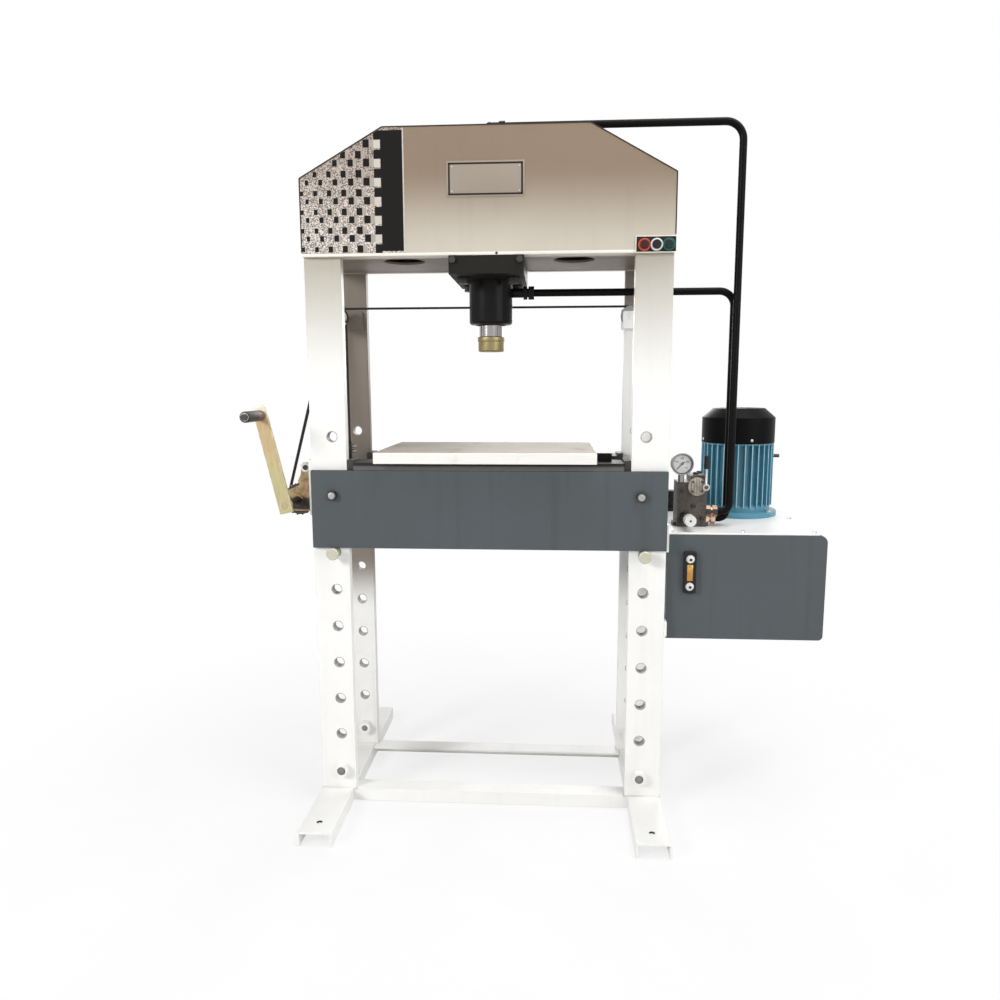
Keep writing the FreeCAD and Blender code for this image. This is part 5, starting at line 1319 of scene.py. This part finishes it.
def rope_falls():
    """The two hanging runs, six strands twisted together."""
    bottom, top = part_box("rope_falls")
    radius, lay, step = 0.003, 0.036, 0.003
    span = top.z - bottom.z
    count = int(span / step)
    for name, x, y in (("left_rope_fall", bottom.x + radius, bottom.y + radius),
                       ("right_rope_fall", top.x - radius, top.y - radius)):
        bm = bmesh.new()
        made = bmesh.ops.create_circle(bm, cap_ends=True, segments=24, radius=radius,
                                       matrix=Matrix.Translation((x, y, bottom.z)))
        grooves = [v for k, v in enumerate(made["verts"]) if k % 4 == 0]
        bmesh.ops.scale(bm, vec=(0.80, 0.80, 1), verts=grooves,
                        space=Matrix.Translation((-x, -y, -bottom.z)))
        edges = list({e for v in made["verts"] for e in v.link_edges})
        for k in range(count):
            carried = bmesh.ops.extrude_edge_only(bm, edges=edges)["geom"]
            verts = [g for g in carried if isinstance(g, bmesh.types.BMVert)]
            edges = [g for g in carried if isinstance(g, bmesh.types.BMEdge)]
            bmesh.ops.translate(bm, verts=verts, vec=(0, 0, span / count))
            bmesh.ops.rotate(bm, verts=verts, cent=(x, y, 0),
                             matrix=Matrix.Rotation(math.tau * step / lay, 3, "Z"))
        bmesh.ops.contextual_create(bm, geom=edges)
        bmesh.ops.recalc_face_normals(bm, faces=bm.faces)
        fall = piece(name, bm, "rope", "wire_ropes", smooth=70,
                     stands_for=("rope_falls",))
        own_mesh(fall)


def clamp_bows():
    """The round bows that hold both legs of each rope against the clamps' blocks."""
    wire, apart, leg, bend = 0.0018, 0.0075, 0.0045, 0.0105
    bm = bmesh.new()
    lo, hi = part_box("rope_clamps")
    for x, y in zip((lo.x + 0.012, hi.x - 0.007), CLAMP_BOW_Y):
        for z in CLAMP_ROWS_Z:
            for side in (-1, 1):
                place = turned_to(AXES["x"], Vector((x + leg, y + side * apart, z)))
                bmesh.ops.create_cone(bm, cap_ends=True, segments=12, radius1=wire, radius2=wire,
                                      depth=0.012, matrix=place)
            place = turned_to(AXES["x"], Vector((x + bend, y + apart, z)))
            made = bmesh.ops.create_circle(bm, cap_ends=False, segments=12, radius=wire,
                                           matrix=place)
            edges = list({e for v in made["verts"] for e in v.link_edges})
            bmesh.ops.spin(bm, geom=list(made["verts"]) + edges, cent=(x + bend, y, z),
                           axis=(0, 0, 1), dvec=(0, 0, 0), angle=-math.pi, steps=10)
    bmesh.ops.recalc_face_normals(bm, faces=bm.faces)
    piece("clamp_bows", bm, "bright", "rope_clamps", smooth=50)


class PRESS_OT_buttons(bpy.types.Operator):
    """The control panel with its three ringed buttons"""
    bl_idname = "press.buttons"
    bl_label = "Button panel"

    def execute(self, context):
        eased("button_panel", "plastic", 0.0003)
        for tint, look in (("red", "red_dark"), ("white", "plastic"), ("green", "green_dark")):
            eased(tint + "_button", look, 0.0005)
            button_ring(tint)
        panel_border()
        return {"FINISHED"}


def button_ring(tint):
    """The rounded ring of a button's own colour that stands round it."""
    bm = bmesh.new()
    centre = middle(tint + "_button")
    ring = [(0.0108, 0.0), (0.0108, -0.0007), (0.0122, -0.0013), (0.0139, -0.0009),
            (0.0147, 0.0004), (0.0150, 0.0036), (0.0143, 0.0038), (0.0143, 0.0)]
    lathe(bm, ring, Vector((centre.x, low("button_panel").y, centre.z)), AXES["y"], 48)
    piece(tint + "_button_ring", bm, tint, "button_panel", smooth=40)


def panel_border():
    """A narrow pale strip along the panel's top, foot and left side."""
    lo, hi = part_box("button_panel")
    wide = 0.0022
    front, left, right = lo.y + 0.0034, lo.x - wide, hi.x + wide * 0.2
    bm = bmesh.new()
    for x0, z0, x1, z1 in ((left, hi.z, right, hi.z + wide), (left, lo.z - wide, right, lo.z),
                           (left, lo.z, lo.x, hi.z)):
        block(bm, (x0, front, z0), (x1, FACE_Y + 0.0004, z1), 0.0003)
    piece("panel_border", bm, "hem", "button_panel")


class PRESS_OT_tank(bpy.types.Operator):
    """Oil tank, lid, brackets, level gauge and filler"""
    bl_idname = "press.tank"
    bl_label = "Tank"

    def execute(self, context):
        eased("tank_shell", "slate", 0.0012, cuts=(middle("level_gauge").x,))
        for row in (("tank_lid", "lid", 0.001), ("tank_brackets", "post", 0.001),
                    ("level_gauge", "plastic", 0.0006), ("filler_breather", "plastic", 0.0006)):
            eased(*row)
        lid_screws()
        level_window()
        return {"FINISHED"}


def lid_screws():
    """Eight hexagon heads round the lid."""
    bm = bmesh.new()
    x0, x1 = TANK_LOW.x + 0.014, high("tank_lid").x - 0.010
    for x in (x0, (x0 + x1) / 2, x1):
        for y in (TANK_LOW.y + 0.014, TANK_HIGH.y - 0.014):
            hexagon(bm, 0.010, 0.0045, Vector((x, y, LID_TOP)), AXES["z"])
    for x in (x0, x1):
        hexagon(bm, 0.010, 0.0045, Vector((x, (TANK_LOW.y + TANK_HIGH.y) / 2, LID_TOP)), AXES["z"])
    piece("lid_screws", bm, "bright", "tank_lid")


def amber(name):
    """Amber oil behind the window, paler towards its top."""
    made, tree, surface = material(name, Roughness=0.12, Coat_Weight=0.6)
    where = spot(tree)
    z = parts_of(tree, where)[2]
    cloud = noise(tree, where, 90.0, 3.0)
    level = plus(tree, z, times(tree, cloud, 0.0006))
    base = blend(tree, ramp(tree, level, 0.640, 0.676), (0.46, 0.20, 0.020), (0.78, 0.46, 0.10))
    base = blend(tree, times(tree, ramp(tree, cloud, 0.5, 0.75), 0.5), base, (0.22, 0.09, 0.01))
    link(tree, surface, Base_Color=base)
    return made


def level_window():
    """The gauge's oil window, and the washer, nut and stud end above and below it."""
    x = middle("level_gauge").x
    face = TANK_LOW.y - GAUGE_DEPTH
    z0, z1 = GAUGE_WINDOW_Z
    bm = bmesh.new()
    block(bm, (x - 0.0078, face - 0.0006, z0), (x + 0.0078, face + 0.0056, z1), 0.0022)
    piece("level_window", bm, "amber", "level_gauge", smooth=40)
    washer = [(0.0052, -0.0005), (0.0100, -0.0005), (0.0106, 0.0010), (0.0106, 0.0016),
              (0.0052, 0.0016)]
    nuts, studs = bmesh.new(), bmesh.new()
    for z in GAUGE_NUTS_Z:
        lathe(nuts, washer, Vector((x, face - 0.0013, z)), AXES["y"], 40)
        hexagon(nuts, 0.0165, 0.0050, Vector((x, face - 0.0016, z)), -AXES["y"])
        hexagon(studs, 0.0070, 0.0018, Vector((x, face - 0.0066, z)), -AXES["y"])
    piece("level_nuts", nuts, "white_zinc", "level_gauge")
    piece("level_studs", studs, "blackened", "level_gauge")


class PRESS_OT_motor(bpy.types.Operator):
    """Electric motor, cowl, fan and pump"""
    bl_idname = "press.motor"
    bl_label = "Motor"

    def execute(self, context):
        housing = eased("motor_housing", "motor", 0.0006)
        inner, outer = FIN_TIPS
        # painted highlight: the fins' outer tips get a pale blue
        recolour(housing, "fin_tip_highlight", lambda v: inner < (v - MOTOR_AXIS).xy.length < outer
                 and v.z > LID_TOP + 0.02)
        recolour(housing, "blackened", lambda v: v.x > MOTOR_AXIS.x + 0.080
                 and abs(v.y - MOTOR_AXIS.y) < CABLE_HOLE_RADIUS
                 and abs(v.z - CABLE_HOLE_Z) < CABLE_HOLE_RADIUS)
        eased("fan_cowl", "cowl", 0.0005)
        painted("motor_rotor", "blackened")
        painted("pump", "pump")
        motor_screws()
        return {"FINISHED"}


def motor_screws():
    """Screws round the cowl, hexagon heads on the motor's flange, and four on the terminal box."""
    bm = bmesh.new()
    radius = (COWL_HIGH.x - COWL_LOW.x) / 2
    for k in range(4):
        a = math.radians(9 + 90 * k)
        out = Vector((math.cos(a), math.sin(a), 0))
        foot = Vector((0, 0, COWL_LOW.z + 0.010))
        pan_screw(bm, 0.0045, MOTOR_AXIS + out * radius + foot, out)
        a += math.radians(36)
        place = MOTOR_AXIS + Vector((math.cos(a), math.sin(a), 0)) * 0.1065
        hexagon(bm, 0.012, 0.006, place + Vector((0, 0, LID_TOP + 0.014)), AXES["z"])
    box_back = high("motor_housing").y
    for dx in (-0.040, 0.040):
        for z in (LID_TOP + 0.078, LID_TOP + 0.158):
            pan_screw(bm, 0.0036, Vector((MOTOR_AXIS.x + dx, box_back, z)), AXES["y"])
    piece("motor_screws", bm, "bright", "motor_housing")


class PRESS_OT_valve(bpy.types.Operator):
    """Valve block, lever, knob and pressure gauge"""
    bl_idname = "press.valve"
    bl_label = "Valve block"

    def execute(self, context):
        body = eased("valve_block", "cast", 0.0004)
        fitting_end = high("valve_block").x - FITTING_LONG
        recolour(body, "fitting", lambda v: v.x > fitting_end and FITTING_LOW < v.z < FITTING_TOP
                 and v.y > FITTING_FROM_Y and abs(v.y - FITTING_Y) < FITTING_HALF)
        # the round cover's pale colour is partly a painted highlight
        recolour(body, "cast_bright",
                 lambda v: from_axis(v, COVER_X, COVER_Z) < COVER_RADIUS and v.y < COVER_Y)
        recolour(body, "blackened", lambda v: v.y < COVER_Y and v.z < BLOCK_SCREWS_BELOW_Z)
        grip_end = high("valve_lever").z - LEVER_GRIP
        recolour(eased("valve_lever", "bright", 0.0005), "plastic", lambda v: v.z > grip_end)
        rim_end = low("relief_knob").y + KNOB_RIM
        recolour(eased("relief_knob", "white_zinc", 0.0003), "blackened", lambda v: v.y > rim_end)
        knob_socket()
        eased("pressure_gauge", "dull", 0.0004)
        painted("gauge_needle", "plastic")
        block_screws()
        gauge_dial()
        gauge_glass()
        return {"FINISHED"}


def knob_socket():
    """The dark hexagonal socket in the knob's face."""
    centre = middle("relief_knob")
    at = Vector((centre.x, low("relief_knob").y - 0.0004, centre.z))
    bm = bmesh.new()
    hexagon(bm, 0.0052, 0.0007, at, AXES["y"], 0.06)
    piece("knob_socket", bm, "blackened", "relief_knob")


def block_screws():
    """Screws of the block and of its round cover, nuts on its top, and the cover's five ribs."""
    lever = middle("valve_lever")
    front = lever.y + 0.014
    bm = bmesh.new()
    for dx, dz in ((-0.060, -0.092), (-0.060, -0.012), (-0.004, -0.086), (-0.028, -0.052)):
        socket_screw(bm, 0.0052, Vector((lever.x + dx, front, COVER_Z + dz)), -AXES["y"])
    ring = 0.0180
    for k in range(4):
        a = math.radians(45 + 90 * k)
        at = Vector((COVER_X + ring * math.cos(a), front - 0.006, COVER_Z + ring * math.sin(a)))
        socket_screw(bm, 0.0030, at, -AXES["y"])
    for x, y in ((0.546, -0.014), (0.560, 0.016)):
        hexagon(bm, 0.013, 0.006, Vector((x, y, high("valve_block").z)), AXES["z"])
    piece("block_screws", bm, "blackened", "valve_block")
    ribs = bmesh.new()
    for k in range(5):
        x = COVER_X + 0.0070 * (k - 2)
        tall = math.sqrt(max(0.0, 0.0225 ** 2 - (x - COVER_X) ** 2)) * 0.92
        block(ribs, (x - 0.0014, front - 0.0082, COVER_Z - tall),
              (x + 0.0014, front - 0.0058, COVER_Z + tall), 0.0006)
    # the ribs take the cover's colour, partly a painted highlight
    piece("cover_ribs", ribs, "cast_bright", "valve_block")


DIAL_INKS = ("dial_white", "dial_ink", "dial_red")
DIAL_FIGURES = ("0", "100", "200", "300", "400")


def gauge_places():
    """The middle of the gauge's case at its front, and the case's radius."""
    lo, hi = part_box("pressure_gauge")
    radius = (hi.x - lo.x) / 2
    return Vector(((lo.x + hi.x) / 2, lo.y, hi.z - radius)), radius


def gauge_dial():
    """White dial with its bezel, its divisions, the last ones red, and plain figures."""
    centre, radius = gauge_places()
    centre.y += 0.0088
    bm = bmesh.new()
    disc = [(0, 0.0), (radius - 0.0034, 0.0), (radius - 0.0034, 0.0006), (0, 0.0006)]
    lathe(bm, disc, centre, AXES["y"], 64)
    bezel = bmesh.new()
    ring = [(radius - 0.0056, 0.0), (radius - 0.0050, -0.0008), (radius - 0.0036, -0.0012),
            (radius - 0.0033, -0.0012), (radius - 0.0033, 0.0006)]
    lathe(bezel, ring, centre, AXES["y"], 64)
    piece("dial_bezel", bezel, "plastic", "pressure_gauge", smooth=50)
    count = sizes().ticks
    for k in range(count + 1):
        a = math.radians(225 - 270 * k / count)
        long = k % 10 == 0
        length, width = (0.0046, 0.0009) if long else (0.0024, 0.0004)
        start = len(bm.faces)
        place = (Matrix.Translation((centre.x, centre.y - 0.0001, centre.z))
                 @ Matrix.Rotation(a, 4, Vector((0, -1, 0)))
                 @ Matrix.Translation((radius - 0.0062 - length / 2, 0, 0))
                 @ Matrix.Diagonal((length, 0.0003, width, 1)))
        bmesh.ops.create_cube(bm, size=1, matrix=place)
        bm.faces.ensure_lookup_table()
        for f in bm.faces[start:]:
            f.material_index = 2 if k > count * 0.82 else 1
    piece("gauge_dial", bm, DIAL_INKS, "pressure_gauge", smooth=30)
    for k, text in enumerate(DIAL_FIGURES):
        a = math.radians(225 - 270 * k / (len(DIAL_FIGURES) - 1))
        reach = radius - 0.0150
        place = centre + Vector((math.cos(a) * reach, -0.0003, math.sin(a) * reach))
        figure("dial_figure_" + text, text, 0.0062, place)


def figure(name, text, size, at):
    """A small flat figure made a mesh and laid on the dial."""
    curve = bpy.data.curves.new(name, "FONT")
    curve.body = text
    curve.size = size
    curve.align_x, curve.align_y = "CENTER", "CENTER"
    curve.extrude = 0.0001
    curve.resolution_u = 3
    holder = bpy.data.objects.new(name + "_text", curve)
    bpy.context.scene.collection.objects.link(holder)
    bpy.context.view_layer.update()
    depsgraph = bpy.context.evaluated_depsgraph_get()
    mesh = bpy.data.meshes.new_from_object(holder.evaluated_get(depsgraph))
    bpy.data.objects.remove(holder)
    mesh.transform(Matrix.Translation(at) @ Matrix.Rotation(math.pi / 2, 4, "X"))
    bm = bmesh.new()
    bm.from_mesh(mesh)
    piece(name, bm, "dial_ink", "pressure_gauge", smooth=30)


def glass(name):
    made, tree, surface = material(name, Transmission_Weight=1.0, Roughness=0.02, IOR=1.45,
                                   Base_Color=(1, 1, 1, 1))
    link(tree, surface, Normal=bumped(tree, 0.02, 0.0002, noise(tree, spot(tree), 120.0, 3.0)))
    return made


def gauge_glass():
    """The slightly domed window in front of the dial."""
    centre, radius = gauge_places()
    bm = bmesh.new()
    r = radius - 0.0031
    lathe(bm, [(0, -0.0006), (r * 0.6, -0.0003), (r, 0.0004), (r, 0.0014), (0, 0.0008)],
          Vector((centre.x, centre.y + 0.0014, centre.z)), AXES["y"], 48)
    piece("gauge_glass", bm, "glass", "pressure_gauge", smooth=60)


class PRESS_PT_panel(bpy.types.Panel):
    """Colours, sizes and the steps that build the looks"""
    bl_idname = "PRESS_PT_panel"
    bl_label = "Workshop press"
    bl_space_type = "VIEW_3D"
    bl_region_type = "UI"
    bl_category = "Press"

    def draw(self, context):
        for group in (context.scene.press_paint, context.scene.press_sizes):
            for key in group.bl_rna.properties.keys():
                if key not in ("rna_type", "name"):
                    self.layout.prop(group, key)
        for operator in STEPS:
            self.layout.operator(operator.bl_idname)


STEPS = (PRESS_OT_stage, PRESS_OT_uprights, PRESS_OT_header, PRESS_OT_cylinder,
         PRESS_OT_bolster, PRESS_OT_pins, PRESS_OT_hoist, PRESS_OT_buttons, PRESS_OT_tank,
         PRESS_OT_motor, PRESS_OT_valve)
CLASSES = (PressPaint, PressSizes, *STEPS, PRESS_PT_panel)


def register():
    for each in CLASSES:
        bpy.utils.register_class(each)
    bpy.types.Scene.press_paint = PointerProperty(type=PressPaint)
    bpy.types.Scene.press_sizes = PointerProperty(type=PressSizes)


def unregister():
    del bpy.types.Scene.press_sizes
    del bpy.types.Scene.press_paint
    for each in reversed(CLASSES):
        bpy.utils.unregister_class(each)


def main():
    register()
    bpy.context.scene.view_settings.view_transform = "Standard"
    for step in STEPS:
        getattr(bpy.ops.press, step.bl_idname.split(".")[1])()


if __name__ == "__main__":
    main()
